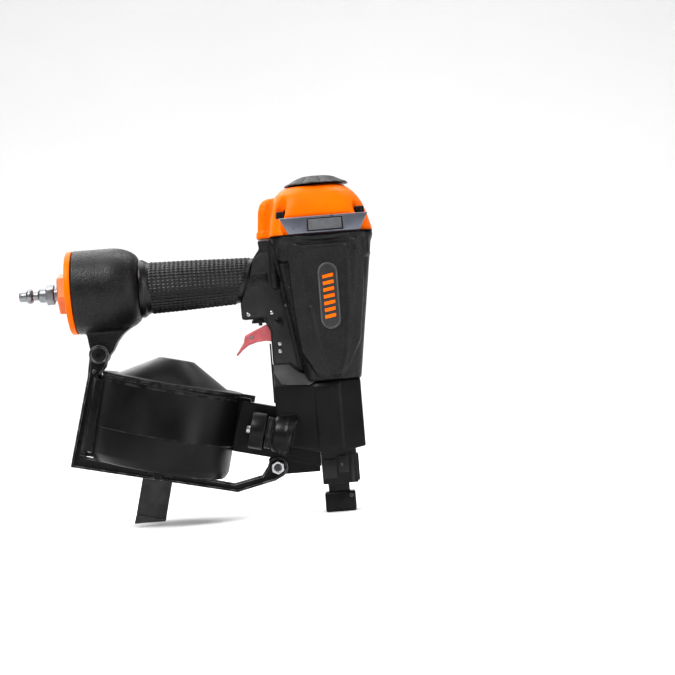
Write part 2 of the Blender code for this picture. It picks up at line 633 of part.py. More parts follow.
def nose_cover():
    outline = [(COVER_REAR_X, 122.9), (-31.2, 122.9), (-21.6, 112.9), (-21.0, 107.7),
               (23.8, 107.7), (24.2, 52.5), (10.0, 50.0), (-3.5, 47.2), (-32.0, 55.0),
               (COVER_REAR_X, 54.0)]
    cover = bevel(plate("nose_cover", TOOL, outline, (-COVER_HALF, COVER_HALF)), 0.8, 2)
    for x in (-12.0, 4.8):
        add(cover, tapered_block("cover_rib", TOOL, (x - 2.2, x + 2.2, COVER_HALF + 1.4),
                                 (x - 2.2, x + 2.2, COVER_HALF + 1.4), (52.5, 105.0), 1.8, 3))
    add(cover, rod("feeder_flare", MAG, "X", (FEEDER_Y, FEEDER_Z), 13.2, (89.4, 101.0), 24,
                   end_radius=17.0))
    add(cover, rod("flare_seat", MAG, "X", (FEEDER_Y, FEEDER_Z), 17.0, (100.9, 105.0), 24,
                   end_radius=13.0))
    inside = [(-44.2, 130.0), (-44.2, 40.0), (21.4, 40.0), (21.4, 130.0)]
    cut(cover, plate("cover_inside", TOOL, inside,
                     (-COVER_ROOM_HALF, COVER_ROOM_HALF)))
    cut(cover, block("channel_window", MAG, (74.0, 112.0), (-8.5, 8.5), (0.0, 66.6)))
    cut(cover, block("arm_window", TOOL, (-50.0, -40.0), (-6.0, 13.0), (86.0, 108.0)))
    cut(cover, block("wheel_window", TOOL, (11.0, 30.0), (-21.2, -9.8), (89.0, 104.0)))
    cut(cover, rod("feed_rod_hole", MAG, "X", (FEEDER_Y, FEEDER_Z), 3.0, (80.0, 102.0), 12))
    add(cover, block("wheel_shelf", TOOL, (12.0, 22.4), (-20.5, -10.4), (84.0, 88.4)))
    add(cover, rod("wheel_spindle", TOOL, "Z", WHEEL_XY, 1.8, (86.0, 107.0), 12))
    return paint(cover, MAG_BLACK)


def contact_tip():
    tip = block("contact_tip", TOOL, (-12.3, 12.9), (-9.2, 9.2), (0.0, 15.6))
    bevel(tip, 1.2, 2)
    cut(tip, block("tip_socket", TOOL, (-8.8, 8.8), (-6.4, 6.4), (3.0, 30.0)))
    cut(tip, rod("tip_hole", TOOL, "Z", (0.0, 0.0), 3.8, (-5.0, 10.0), SMALL_SIDES))
    return paint(tip, BLACK_STEEL)


def contact_arm():
    outline = [(-48.4, 98.4), (-48.4, 92.6), (-10.0, 92.6), (-10.0, 30.0), (-8.0, 2.0), (6.0, 2.0),
               (6.0, 30.0), (-3.0, 40.0), (-3.0, 98.4)]
    arm = plate("contact_arm", TOOL, outline, (9.7, 11.8))
    add(arm, block("arm_foot", TOOL, (-49.4, -47.0), (-4.2, 12.2), (92.2, 98.8)))
    add(arm, block("arm_rise", TOOL, (-49.2, -47.2), (-4.0, 4.0), (94.0, 141.5)))
    return paint(arm, ZINC)


def depth_wheel():
    wheel = rod("depth_wheel", TOOL, "Z", WHEEL_XY, 5.2, (91.0, 101.0), 24)
    cut(wheel, rod("wheel_bore", TOOL, "Z", WHEEL_XY, 2.15, (80.0, 110.0), 12))
    flutes = 8
    for i in range(flutes):
        turn = 2.0 * math.pi * i / flutes
        place = (WHEEL_XY[0] + 5.9 * math.cos(turn), WHEEL_XY[1] + 5.9 * math.sin(turn))
        cut(wheel, rod("flute", TOOL, "Z", place, 1.2, (80.0, 110.0), 8))
    return paint(wheel, BLACK_STEEL)


# ---------------------------------------------------------------- magazine
def cup(name):
    """The canister's wall and floor as one whole cup, later cut into door and base."""
    wall = MAG_R - MAG_WALL
    profile = [(0.0, 2.6), (50.5, 2.6), (wall, 10.0), (wall, MAG_HEIGHT), (MAG_R, MAG_HEIGHT),
               (MAG_R, 28.0), (MAG_R - 0.7, 27.4), (MAG_R - 0.7, 9.4), (51.0, 0.0), (0.0, 0.0)]
    return turned(name, MAG, profile, sides=44)


def magazine_base():
    base = cup("magazine_base")
    cut(base, block("door_side", MAG, (-95.0, 95.0), (-112.0, DOOR_CUT_Y), (-30.0, 90.0),
                    (0.0, 0.0, DOOR_CUT_ANGLE)))
    cut(base, block("feed_mouth", MAG, (40.0, 75.0), (-6.4, 6.4), (25.0, 66.0)))
    for z, inner_x in (((65.4, MAG_HEIGHT - 0.2), -56.2), ((1.0, 4.2), -49.0)):
        add(base, block("hinge_arm", MAG, (-61.2, inner_x), (-15.0, -12.0), z))
        add(base, rod("hinge_eye", MAG, "Z", HINGE_XY, 3.2, z, 16))
    cut(base, rod("hinge_bore", MAG, "Z", HINGE_XY, 1.5, (-5.0, 80.0), 12))
    add(base, block("saddle", MAG, (-36.0, 40.0), (-5.2, 6.0), (-8.0, 1.0)))
    for x in ((-35.0, -23.0), (27.0, 39.0)):
        add(base, block("saddle_foot", MAG, x, (BRACKET_Y[1] + FIT, -5.0), (-7.0, 0.6)))
    add(base, rod("post", MAG, "Z", (0.0, 0.0), POST_R, (1.0, 64.0), 24))
    return paint(base, MAG_BLACK)


def magazine_door():
    hinge = empty("door_frame", MAG, (HINGE_XY[0], HINGE_XY[1], 0.0))
    door = cup("magazine_door")
    door.parent = hinge
    door.location = (-HINGE_XY[0] * MM, -HINGE_XY[1] * MM, 0.0)
    cut(door, block("base_side", MAG, (-95.0, 95.0), (DOOR_CUT_Y - 0.5, 90.0), (-30.0, 90.0),
                    (0.0, 0.0, DOOR_CUT_ANGLE)))
    add(door, block("hinge_leaf", MAG, (-62.0, -53.6), (-19.2, -16.8), (4.8, 64.8)))
    add(door, rod("hinge_barrel", MAG, "Z", HINGE_XY, 2.6, (4.8, 64.8), 16))
    cut(door, rod("door_bore", MAG, "Z", HINGE_XY, 1.5, (-5.0, 80.0), 12))
    return paint(door, MAG_BLACK)


def magazine_hinge_pin():
    pin = rod("magazine_hinge_pin", MAG, "Z", HINGE_XY, 1.2, (0.6, MAG_HEIGHT + 0.1), 12)
    return paint(pin, STEEL)


def magazine_lid():
    low = MAG_HEIGHT + 0.5
    high = low + 2.8
    lid = turned("magazine_lid", MAG, [(0.0, 90.6), (14.2, 90.6), (15.2, 90.0), (45.8, high),
                                       (MAG_R - 0.8, high), (MAG_R, high - 0.8), (MAG_R, low),
                                       (42.4, low), (14.0, 88.0), (0.0, 88.0)], sides=44)
    tab = [(54.0, low + 0.1), (66.5, low + 0.1), (66.5, low - 2.4), (69.2, low - 2.4),
           (69.2, high), (54.0, high)]
    add(lid, plate("lid_tab", MAG, tab, (-12.0, -1.0)))
    return paint(lid, MAG_BLACK)


def nail_platform():
    disc = turned("nail_platform", MAG, [(5.4, 9.0), (9.0, 9.0), (9.0, 6.6), (49.0, 6.6), (49.0, 3.6),
                                         (5.4, 3.6)])
    return paint(disc, MAG_BLACK)


def magazine_bracket():
    outline = [(-196.0, 143.2), (-198.6, 125.3), (-218.2, 53.1), (-83.2, 22.0), (-43.2, 30.9),
               (-42.6, 48.4), (-57.6, 48.4), (-60.4, 34.6), (-85.4, 29.6), (-103.4, 34.2),
               (-205.4, 60.4), (-188.0, 130.2), (-181.6, 133.2), (-180.0, 143.0)]
    bracket = plate("magazine_bracket", TOOL, outline, BRACKET_Y)
    add(bracket, rod("bracket_eye", TOOL, "Y", LUG_PIVOT, 8.0, (-11.28, -8.32), 24))
    bevel(bracket, 0.7, 2, 40.0)
    rib = [(-197.4, 121.0), (-214.2, 56.6), (-84.6, 25.2), (-84.2, 27.4), (-211.4, 58.0),
           (-195.0, 121.0)]
    add(bracket, plate("bracket_rib", TOOL, rib, (BRACKET_Y[0] - 1.0, BRACKET_Y[0] + 0.5)))
    cut(bracket, rod("bracket_hole", TOOL, "Y", LUG_PIVOT, BRACKET_BOLT_HOLE_R,
                     (-15.0, -5.0), SMALL_SIDES))
    cut(bracket, rod("bracket_small_hole", TOOL, "Y", (-191.5, 131.0), 1.6, (-15.0, -5.0), 10))
    cut(bracket, rod("front_hole", TOOL, "Y", FRONT_BOLT, BRACKET_BOLT_HOLE_R,
                     (-15.0, -5.0), SMALL_SIDES))
    cut(bracket, block("guide_slot", MAG, (-9.0, 12.0), (-15.0, -5.0),
                       (GUIDE_SCREW[1] - 2.1, GUIDE_SCREW[1] + 2.1)))
    return paint(bracket, BLACK_STEEL)


def bracket_bolt():
    bolt = rod("bracket_bolt", TOOL, "Y", LUG_PIVOT, 5.6, (-15.2, BRACKET_Y[0] - FIT), 16)
    add(bolt, rod("bolt_stem", TOOL, "Y", LUG_PIVOT, 3.0, (-13.0, 13.4), 16))
    cut(bolt, rod("bolt_hex", TOOL, "Y", LUG_PIVOT, 2.6, (-18.0, -13.4), 6))
    return paint(bevel(bolt, 0.6, 1, 50.0), BLACK_STEEL)


def hex_nut(name, place, y, across):
    nut = rod(name, TOOL, "Y", place, across / math.sqrt(3.0), y, 6)
    bevel(nut, 0.5, 1, 50.0)
    cut(nut, rod("nut_bore", TOOL, "Y", place, 3.3, (y[0] - 3.0, y[1] + 3.0), 16))
    return nut


def bracket_nut():
    return paint(hex_nut("bracket_nut", LUG_PIVOT, (8.3, 12.6), 10.0), ZINC)


def front_bolt():
    bolt = rod("front_bolt", TOOL, "Y", FRONT_BOLT, 3.0, (-17.4, 9.2), 16)
    add(bolt, rod("front_head", TOOL, "Y", FRONT_BOLT, 5.0, (8.3, 12.0), 20))
    return paint(bevel(bolt, 0.4, 1, 50.0), ZINC)


def front_nut():
    return paint(hex_nut("front_nut", FRONT_BOLT, (-16.4, BRACKET_Y[0] - FIT), 10.0), ZINC)


# ---------------------------------------------------------------- feeder
def feed_channel():
    channel = block("feed_channel", MAG, (59.4, 140.0), (-8.0, 8.0), (24.4, 66.0))
    cut(channel, block("coil_path", MAG, (50.0, 150.0), (-5.4, 5.4), (27.0, 63.6)))
    gate = [(-56.0, 33.6), (-14.6, 33.6), (-14.6, 60.0), (-36.0, 60.0), (-44.0, 52.0), (-56.0, 47.0)]
    add(channel, plate("gate", TOOL, gate, (-7.9, -5.3)))
    add(channel, plate("gate_far", TOOL, gate, (5.3, 7.9)))
    add(channel, block("gate_floor", TOOL, (-34.0, -15.4), (-7.0, 7.0), (34.4, 36.6)))
    cut(channel, block("nose_room", TOOL, (-13.3, 40.0), (-20.0, 20.0), (0.0, 120.0)))
    cut(channel, rod("channel_hole", TOOL, "Y", FRONT_BOLT, BRACKET_BOLT_HOLE_R,
                     (-15.0, 15.0), SMALL_SIDES))
    return paint(channel, DARK_GREY)


def feeder_cap():
    disc = turned("feeder_cap", MAG, [(0.0, 82.6), (10.2, 82.6), (14.2, 82.6), (14.9, 81.8),
                                      (14.9, 71.4), (14.0, 70.6), (0.0, 70.6)],
                  (0.0, FEEDER_Y, FEEDER_Z), (0.0, 90.0, 0.0), 24)
    cut(disc, rod("cap_room", MAG, "X", (FEEDER_Y, FEEDER_Z), 10.2, (73.2, 94.0), 24))
    return paint(disc, MAG_BLACK)


def feeder_screw():
    screw = rod("feeder_screw", MAG, "X", (FEEDER_Y, FEEDER_Z), 2.6, (65.4, 70.3), 16)
    cut(screw, block("screw_slot", MAG, (64.4, 66.3), (FEEDER_Y - 0.5, FEEDER_Y + 0.5),
                     (FEEDER_Z - 4.0, FEEDER_Z + 4.0)))
    return paint(bevel(screw, 0.4, 1, 50.0), STEEL)


def feeder_cylinder():
    body = turned("feeder_cylinder", MAG, [(10.2, 89.1), (12.6, 89.1), (13.1, 88.6), (13.1, 83.6),
                                           (12.6, 82.9), (10.2, 82.9)],
                  (0.0, FEEDER_Y, FEEDER_Z), (0.0, 90.0, 0.0), 24)
    return paint(body, MAG_BLACK)


def feed_piston():
    body = rod("feed_piston", MAG, "X", (FEEDER_Y, FEEDER_Z), 9.8, (74.2, 78.0), 24)
    add(body, rod("feed_rod", MAG, "X", (FEEDER_Y, FEEDER_Z), 2.4, (77.0, 90.0), 12))
    return paint(body, ALUMINIUM)


# ---------------------------------------------------------------- shingle guide and badge
def shingle_guide():
    guide = block("shingle_guide", MAG, (-11.0, 13.6), (-8.0, -5.8), (-49.0, -1.0))
    add(guide, block("guide_lip", MAG, (-10.9, 13.5), (-10.6, -6.4), (-48.9, -40.4)))
    cut(guide, block("guide_trim", TOOL, (-220.0, -80.0), (-40.0, 40.0), (-20.0, 2.8)))
    cut(guide, rod("guide_hole", MAG, "Y", GUIDE_SCREW, 2.1, (-15.0, 0.0), 12))
    bevel(guide, 0.4, 1, 50.0)
    return paint(guide, STEEL)


def guide_screw():
    screw = rod("guide_screw", MAG, "Y", GUIDE_SCREW, 3.9, (-15.2, BRACKET_Y[0] - 1.4), 20)
    add(screw, rod("guide_stem", MAG, "Y", GUIDE_SCREW, 1.8, (-13.0, -5.6), 12))
    return paint(bevel(screw, 0.5, 2, 50.0), BLACK_STEEL)


def badge():
    item = pill_plate("badge", 13.6, 51.3, BADGE_THICKNESS,
                      BADGE_DEPTH - FIT - BADGE_THICKNESS / 2.0)
    return paint(item, DARK_GREY)


main_housing()
grip_sleeve()
end_cap()
inlet_bushing()
air_plug()
cap_gasket()
cylinder_cap()
for bolt_number, bolt_place in enumerate(CAP_BOLT_XY, start=1):
    cap_bolt(bolt_number, bolt_place)
for plate_side, plate_label in ((-1.0, "right"), (1.0, "left")):
    side_plate(plate_side, plate_label)
    side_pad(plate_side, plate_label)
exhaust_deflector()
deflector_screw()
cylinder_sleeve()
bumper()
piston()
piston_seal()
driver_blade()
head_valve()
trigger_valve_body()
valve_stem()
trigger()
lever_pin()
contact_lever()
cross_pin("trigger_pin", TRIGGER_PIVOT, 2.2, 13.2, BLACK_STEEL, 16)
for pin_number, pin_place in enumerate(WEB_PINS, start=1):
    cross_pin("web_pin_%d" % pin_number, pin_place, PIN_R, WEB_HALF + 0.4, STEEL)
for pin_number, pin_place in enumerate(EAR_PINS, start=1):
    cross_pin("ear_pin_%d" % pin_number, pin_place, PIN_R, EAR_HALF + 0.4, STEEL)
nose_body()
nose_cover()
contact_tip()
contact_arm()
depth_wheel()
magazine_base()
magazine_door()
magazine_hinge_pin()
magazine_lid()
nail_platform()
magazine_bracket()
bracket_bolt()
bracket_nut()
front_bolt()
front_nut()
feed_channel()
feeder_cap()
feeder_screw()
feeder_cylinder()
feed_piston()
shingle_guide()
guide_screw()
badge()
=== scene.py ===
"""Looks for the coil roofing nailer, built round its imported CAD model.

Shapes are drawn in millimetres in one of two frames and then placed in the model's frame:
TOOL has X forward, Z up the driver's axis and zero at the contact tip; MAG lies on the nail coil's axis.
"""
import json
import math

import bmesh
import bpy
import numpy as np
from mathutils import Matrix, Vector


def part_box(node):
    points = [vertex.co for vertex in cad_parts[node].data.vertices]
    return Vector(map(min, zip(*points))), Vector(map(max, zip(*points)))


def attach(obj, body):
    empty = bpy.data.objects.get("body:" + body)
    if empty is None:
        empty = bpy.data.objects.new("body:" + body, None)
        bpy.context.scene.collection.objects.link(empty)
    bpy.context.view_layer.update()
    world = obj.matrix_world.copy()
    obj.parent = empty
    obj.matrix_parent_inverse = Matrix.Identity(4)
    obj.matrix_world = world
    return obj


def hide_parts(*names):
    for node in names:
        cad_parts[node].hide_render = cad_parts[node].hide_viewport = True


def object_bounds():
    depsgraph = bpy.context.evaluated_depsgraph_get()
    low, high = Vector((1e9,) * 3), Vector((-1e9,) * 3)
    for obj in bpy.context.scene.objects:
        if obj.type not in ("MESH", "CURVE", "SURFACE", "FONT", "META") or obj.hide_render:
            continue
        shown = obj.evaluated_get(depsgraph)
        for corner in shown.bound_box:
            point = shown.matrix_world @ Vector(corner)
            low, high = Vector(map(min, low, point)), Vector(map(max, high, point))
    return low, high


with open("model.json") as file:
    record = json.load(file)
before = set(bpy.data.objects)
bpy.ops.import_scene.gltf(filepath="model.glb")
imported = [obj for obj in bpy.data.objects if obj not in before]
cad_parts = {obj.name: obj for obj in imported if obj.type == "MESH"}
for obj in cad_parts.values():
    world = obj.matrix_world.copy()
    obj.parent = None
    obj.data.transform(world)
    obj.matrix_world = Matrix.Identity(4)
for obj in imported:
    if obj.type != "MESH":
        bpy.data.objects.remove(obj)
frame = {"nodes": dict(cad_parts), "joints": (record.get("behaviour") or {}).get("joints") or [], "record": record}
cad_low, cad_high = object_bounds()
scene = bpy.context.scene

# ---------------------------------------------------------------- frames and driving sizes, in millimetres
MM = 0.001
JOINTS = {item["name"]: item for item in frame["joints"]}
sleeve_low, sleeve_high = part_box("cylinder_sleeve")
TOOL = Matrix.Translation(((sleeve_low.x + sleeve_high.x) / 2.0, 0.0, 0.0)) @ Matrix.Scale(MM, 4)

DOOR_HINGE = Vector((-60.8, -16.2, 35.0))
coil_axis = Vector(JOINTS["platform_lift"]["axis"]).normalized()
coil_forward = Vector((coil_axis.z, 0.0, -coil_axis.x))
coil_turn = Matrix((coil_forward, (0.0, 1.0, 0.0), coil_axis)).transposed().to_4x4()
MAG = (Matrix.Translation(JOINTS["magazine_door_swing"]["pos_m"]) @ coil_turn @ Matrix.Scale(MM, 4)
    @ Matrix.Translation(-DOOR_HINGE))

BELL_Z = 195.5
GRIP_Z = 194.6
GRIP_SQUEEZE = 0.86
MAG_R = 58.5
MAG_WALL = 2.6
MAG_HEIGHT = 68.6
DOOR_CUT_Y = -12.0
DOOR_CUT_ANGLE = 3.8
LUG_PIVOT = (-188.0, 143.0)
FRONT_BOLT = (-48.8, 39.7)
FEEDER = (-23.4, 44.9)
PLATE_SEAT = 35.6
CAP_BOLTS = [(-30.0, -30.5), (33.6, -30.5), (-30.0, 30.5), (33.6, 30.5)]
CAP_BOLT_SEAT = 241.3
TRIGGER_PIVOT = (-39.0, 158.8)
BADGE = (4.0, 176.0)
SIDES = ((-1.0, "right"), (1.0, "left"))
SHIELD_FOOT = (112.0, 28.2)
SHIELD_HEAD = (216.0, 40.2)


# ---------------------------------------------------------------- materials
LOOKS = {}


class Look:
    """A node material whose colour, roughness and relief vary over the surface."""

    def __init__(self, name, colour, rough, metal=0.0, coat=0.0, gloss=0.5):
        self.material = bpy.data.materials.new(name)
        self.material.use_nodes = True
        self.nodes = self.material.node_tree.nodes
        self.links = self.material.node_tree.links
        self.shader = self.nodes["Principled BSDF"]
        for socket, value in (("Metallic", metal), ("Roughness", rough), ("Coat Weight", coat),
                ("Specular IOR Level", gloss), ("Coat Roughness", 0.08)):
            self.shader.inputs[socket].default_value = value
        self.name = name
        self.rough = rough
        self.colour = (*colour, 1.0)
        self.place = self.nodes.new("ShaderNodeTexCoord").outputs["Object"]
        self.tone = None
        self.polish = None
        self.normal = None

    def noise(self, size, detail=3.0, stretch=None):
        """Noise whose features are about size millimetres across, optionally drawn out along an axis."""
        source = self.place
        if stretch:
            spread = self.nodes.new("ShaderNodeMapping")
            spread.inputs["Scale"].default_value = stretch
            self.links.new(self.place, spread.inputs["Vector"])
            source = spread.outputs["Vector"]
        field = self.nodes.new("ShaderNodeTexNoise")
        field.inputs["Scale"].default_value = 1.0 / (size * MM)
        field.inputs["Detail"].default_value = detail
        self.links.new(source, field.inputs["Vector"])
        return field.outputs["Fac"]

    def spread(self, field, low, high, start=0.0, end=1.0):
        """Maps a field from one range onto another."""
        ramp = self.nodes.new("ShaderNodeMapRange")
        for socket, value in zip(("From Min", "From Max", "To Min", "To Max"), (low, high, start, end)):
            ramp.inputs[socket].default_value = value
        self.links.new(field, ramp.inputs["Value"])
        return ramp.outputs["Result"]

    def blend(self, mask, first, second):
        """Mixes two colours, or a socket and a colour, by a mask."""
        mix = self.nodes.new("ShaderNodeMix")
        mix.data_type = "RGBA"
        self.links.new(mask, mix.inputs["Factor"])
        for socket, value in ((mix.inputs[6], first), (mix.inputs[7], second)):
            if isinstance(value, tuple):
                socket.default_value = value
            else:
                self.links.new(value, socket)
        return mix.outputs[2]

    def mottle(self, other, size, low=0.35, high=0.65):
        """Lets the colour drift towards another one in soft patches."""
        mask = self.spread(self.noise(size), low, high)
        self.tone = self.blend(mask, self.tone or self.colour, (*other, 1.0))
        return self

    def polished(self, size, swing, stretch=None):
        """Varies the roughness in patches or streaks."""
        field = self.noise(size, 4.0, stretch)
        self.polish = self.spread(field, 0.3, 0.7, self.rough - swing, self.rough + swing)
        return self

    def relief(self, size, depth, detail=2.0, stretch=None, cells=False):
        """Adds a bump of about depth millimetres; cells gives a pebbled surface."""
        if cells:
            field = self.nodes.new("ShaderNodeTexVoronoi")
            field.feature = "SMOOTH_F1"
            field.inputs["Scale"].default_value = 1.0 / (size * MM)
            self.links.new(self.place, field.inputs["Vector"])
            height = field.outputs["Distance"]
        else:
            height = self.noise(size, detail, stretch)
        bump = self.nodes.new("ShaderNodeBump")
        bump.inputs["Strength"].default_value = 1.0
        bump.inputs["Distance"].default_value = depth * MM
        bump.invert = cells
        self.links.new(height, bump.inputs["Height"])
        if self.normal:
            self.links.new(self.normal, bump.inputs["Normal"])
        self.normal = bump.outputs["Normal"]
        return self

    def edge_wear_and_highlight(self, colour, radius=0.35, amount=0.6, size=6.0):
        """Brings another colour through along the edges, in broken patches: partly edge wear, partly a painted
        highlight on the edges.
        """
        rounded = self.nodes.new("ShaderNodeBevel")
        rounded.samples = 4
        rounded.inputs["Radius"].default_value = radius * MM
        surface = self.nodes.new("ShaderNodeNewGeometry")
        facing = self.nodes.new("ShaderNodeVectorMath")
        facing.operation = "DOT_PRODUCT"
        self.links.new(rounded.outputs["Normal"], facing.inputs[0])
        self.links.new(surface.outputs["Normal"], facing.inputs[1])
        edge = self.spread(facing.outputs["Value"], 0.995, 0.93, 0.0, amount)
        patches = self.spread(self.noise(size, 5.0), 0.42, 0.62)
        mask = self.nodes.new("ShaderNodeMath")
        mask.operation = "MULTIPLY"
        self.links.new(edge, mask.inputs[0])
        self.links.new(patches, mask.inputs[1])
        self.tone = self.blend(mask.outputs["Value"], self.tone or self.colour, (*colour, 1.0))
        return self

    def done(self):
        """Joins what was drawn to the shader and lists the material."""
        self.shader.inputs["Base Color"].default_value = self.colour
        if self.tone:
            self.links.new(self.tone, self.shader.inputs["Base Color"])
        if self.polish:
            self.links.new(self.polish, self.shader.inputs["Roughness"])
        if self.normal:
            self.links.new(self.normal, self.shader.inputs["Normal"])
        LOOKS[self.name] = self.material
        return self.material


def turned_metal(name, colour, rough, lines):
    """Bright metal with fine tool marks across an axis."""
    look = Look(name, colour, rough, 1.0)
    look.mottle([v * 0.82 for v in colour], 5.0).polished(3.0, 0.07)
    look.relief(12.0, 0.003, 2.0, lines).done()


def make_looks():
    """One material for each finish in the record, and a few for the small details."""
    # The lighter colours brought through along the edges in these looks are partly wear, partly painted highlights
    # on the edges.
    (Look("cast_black", (0.0045, 0.0045, 0.005), 0.44, gloss=0.28)
        .mottle((0.009, 0.009, 0.0095), 18.0)
        .mottle((0.02, 0.02, 0.021), 1.1, 0.52, 0.7).polished(2.2, 0.12)
        .relief(1.15, 0.2, 2.0, cells=True).relief(0.5, 0.05)
        .edge_wear_and_highlight((0.16, 0.16, 0.16), 0.7, 0.45).done())
    (Look("plain_black", (0.01, 0.01, 0.0105), 0.44, gloss=0.34)
        .mottle((0.02, 0.02, 0.0205), 14.0).polished(3.0, 0.08)
        .relief(0.6, 0.03).edge_wear_and_highlight((0.2, 0.2, 0.2), 0.4, 0.5).done())
    # A lighter black for the nose cover's upward-facing shoulder: painted light, the sky's light on the shoulder
    # put into the colour.
    (Look("shoulder_lit_black", (0.034, 0.034, 0.035), 0.6, gloss=0.25)
        .mottle((0.048, 0.048, 0.049), 12.0).polished(3.0, 0.08)
        .relief(0.6, 0.03).edge_wear_and_highlight((0.3, 0.3, 0.3), 0.5, 0.7).done())
    (Look("rubber_black", (0.003, 0.003, 0.0035), 0.36, gloss=0.42)
        .mottle((0.006, 0.006, 0.0065), 12.0).polished(2.0, 0.1)
        .relief(0.35, 0.03).done())
    (Look("orange", (0.88, 0.15, 0.0005), 0.36, 0.0, 0.0, 0.09)
        .mottle((0.84, 0.134, 0.0005), 24.0).polished(4.0, 0.06)
        .relief(1.6, 0.012).edge_wear_and_highlight((0.75, 0.3, 0.08), 0.3, 0.4).done())
    (Look("anodised_orange", (0.58, 0.15, 0.055), 0.42, 0.6)
        .mottle((0.5, 0.12, 0.045), 6.0).polished(1.5, 0.08)
        .relief(8.0, 0.01, 2.0, (1.0, 1.0, 60.0))
        .edge_wear_and_highlight((0.95, 0.5, 0.3), 0.4, 0.7).done())
    turned_metal("chrome", (0.23, 0.235, 0.245), 0.42, (30.0, 1.0, 1.0))
    turned_metal("steel", (0.42, 0.42, 0.43), 0.34, (1.0, 1.0, 25.0))
    turned_metal("zinc", (0.6, 0.6, 0.62), 0.28, (1.0, 20.0, 1.0))
    turned_metal("aluminium", (0.6, 0.6, 0.62), 0.36, (1.0, 1.0, 20.0))
    turned_metal("brass", (0.7, 0.5, 0.2), 0.3, (1.0, 1.0, 20.0))
    (Look("black_steel", (0.004, 0.004, 0.0045), 0.36, gloss=0.24)
        .mottle((0.007, 0.007, 0.0075), 9.0).polished(3.0, 0.1)
        .relief(0.7, 0.02).edge_wear_and_highlight((0.22, 0.22, 0.23), 0.5, 0.9).done())
    (Look("guide_steel", (0.028, 0.028, 0.029), 0.4, 0.4)
        .mottle((0.045, 0.045, 0.047), 10.0).polished(2.0, 0.1, (1.0, 1.0, 14.0))
        .relief(5.0, 0.02, 2.0, (1.0, 1.0, 30.0))
        .edge_wear_and_highlight((0.4, 0.4, 0.41), 0.4, 0.8).done())
    (Look("plate_blue", (0.13, 0.137, 0.165), 0.32, 0.7)
        .mottle((0.17, 0.177, 0.21), 22.0).polished(9.0, 0.05)
        .relief(2.0, 0.003)
        .edge_wear_and_highlight((0.5, 0.52, 0.56), 0.4, 0.7).done())
    (Look("pad_grey", (0.075, 0.076, 0.083), 0.6)
        .mottle((0.095, 0.096, 0.104), 5.0).polished(1.5, 0.08)
        .relief(0.5, 0.05).done())
    (Look("dark_grey", (0.012, 0.011, 0.0115), 0.42, gloss=0.32)
        .mottle((0.021, 0.019, 0.019), 8.0).polished(2.5, 0.1)
        .relief(0.9, 0.02).edge_wear_and_highlight((0.25, 0.24, 0.24), 0.5, 0.5).done())
    (Look("mag_black", (0.003, 0.003, 0.0035), 0.36, gloss=0.22)
        .mottle((0.007, 0.007, 0.0075), 26.0).polished(9.0, 0.04)
        .relief(0.55, 0.025).edge_wear_and_highlight((0.14, 0.14, 0.145), 0.6, 0.7).done())
    (Look("trigger_red", (0.42, 0.095, 0.105), 0.42, 0.25)
        .mottle((0.5, 0.13, 0.14), 7.0).polished(2.0, 0.08)
        .relief(0.5, 0.03).edge_wear_and_highlight((0.72, 0.3, 0.3), 0.4, 0.7).done())
    (Look("urethane", (0.4, 0.24, 0.06), 0.4)
        .mottle((0.3, 0.17, 0.04), 6.0).polished(2.0, 0.08).relief(0.8, 0.02).done())
    (Look("badge_black", (0.006, 0.006, 0.007), 0.22)
        .mottle((0.012, 0.012, 0.013), 6.0).polished(2.0, 0.06)
        .relief(0.6, 0.008).done())
    # A light grey for thin beads and rings that are painted highlights along edges.
    (Look("highlight_grey", (0.05, 0.05, 0.052), 0.36, 0.2)
        .mottle((0.2, 0.2, 0.205), 9.0, 0.46, 0.6).polished(1.5, 0.08)
        .relief(0.5, 0.02).done())
    (Look("rim_grey", (0.05, 0.05, 0.052), 0.36)
        .mottle((0.07, 0.07, 0.072), 4.0).polished(1.5, 0.08).relief(0.5, 0.02).done())


make_looks()
DARKER = {"magazine_hinge_pin": "black_steel", "trigger_valve_body": "plain_black",
    "feed_channel": "mag_black", "front_bolt": "guide_steel", "valve_stem": "guide_steel",
    "contact_lever": "guide_steel"}
SLOTS = {row["node"]: row["material_slot"] for row in frame["record"]["subparts"]}


# ---------------------------------------------------------------- mesh helpers, in millimetres
def loft(bm, rings, capped=True):
    """Faces between rings of the same number of points."""
    rows = [[bm.verts.new(point) for point in ring] for ring in rings]
    count = len(rows[0])
    for low, high in zip(rows, rows[1:]):
        for i in range(count):
            j = (i + 1) % count
            bm.faces.new((low[i], low[j], high[j], high[i]))
    if capped:
        bm.faces.new(rows[0][::-1])
        bm.faces.new(rows[-1])
    return bm


def rounded_ring(x0, x1, half, radius, z, steps=8):
    """A rectangle with round corners at height z."""
    ring = []
    corners = ((x1, half, 0.0), (x0, half, 90.0), (x0, -half, 180.0), (x1, -half, 270.0))
    for cx, cy, start in corners:
        mx = cx - math.copysign(radius, cx - (x0 + x1) / 2.0)
        my = cy - math.copysign(radius, cy)
        for i in range(steps + 1):
            turn = math.radians(start + 90.0 * i / steps)
            ring.append((mx + radius * math.cos(turn), my + radius * math.sin(turn), z))
    return ring


def box_loft(bm, levels, steps=8):
    """A tapering box from levels of (z, x0, x1, half width, corner radius)."""
    return loft(bm, [rounded_ring(x0, x1, half, radius, z, steps) for z, x0, x1, half, radius in levels])


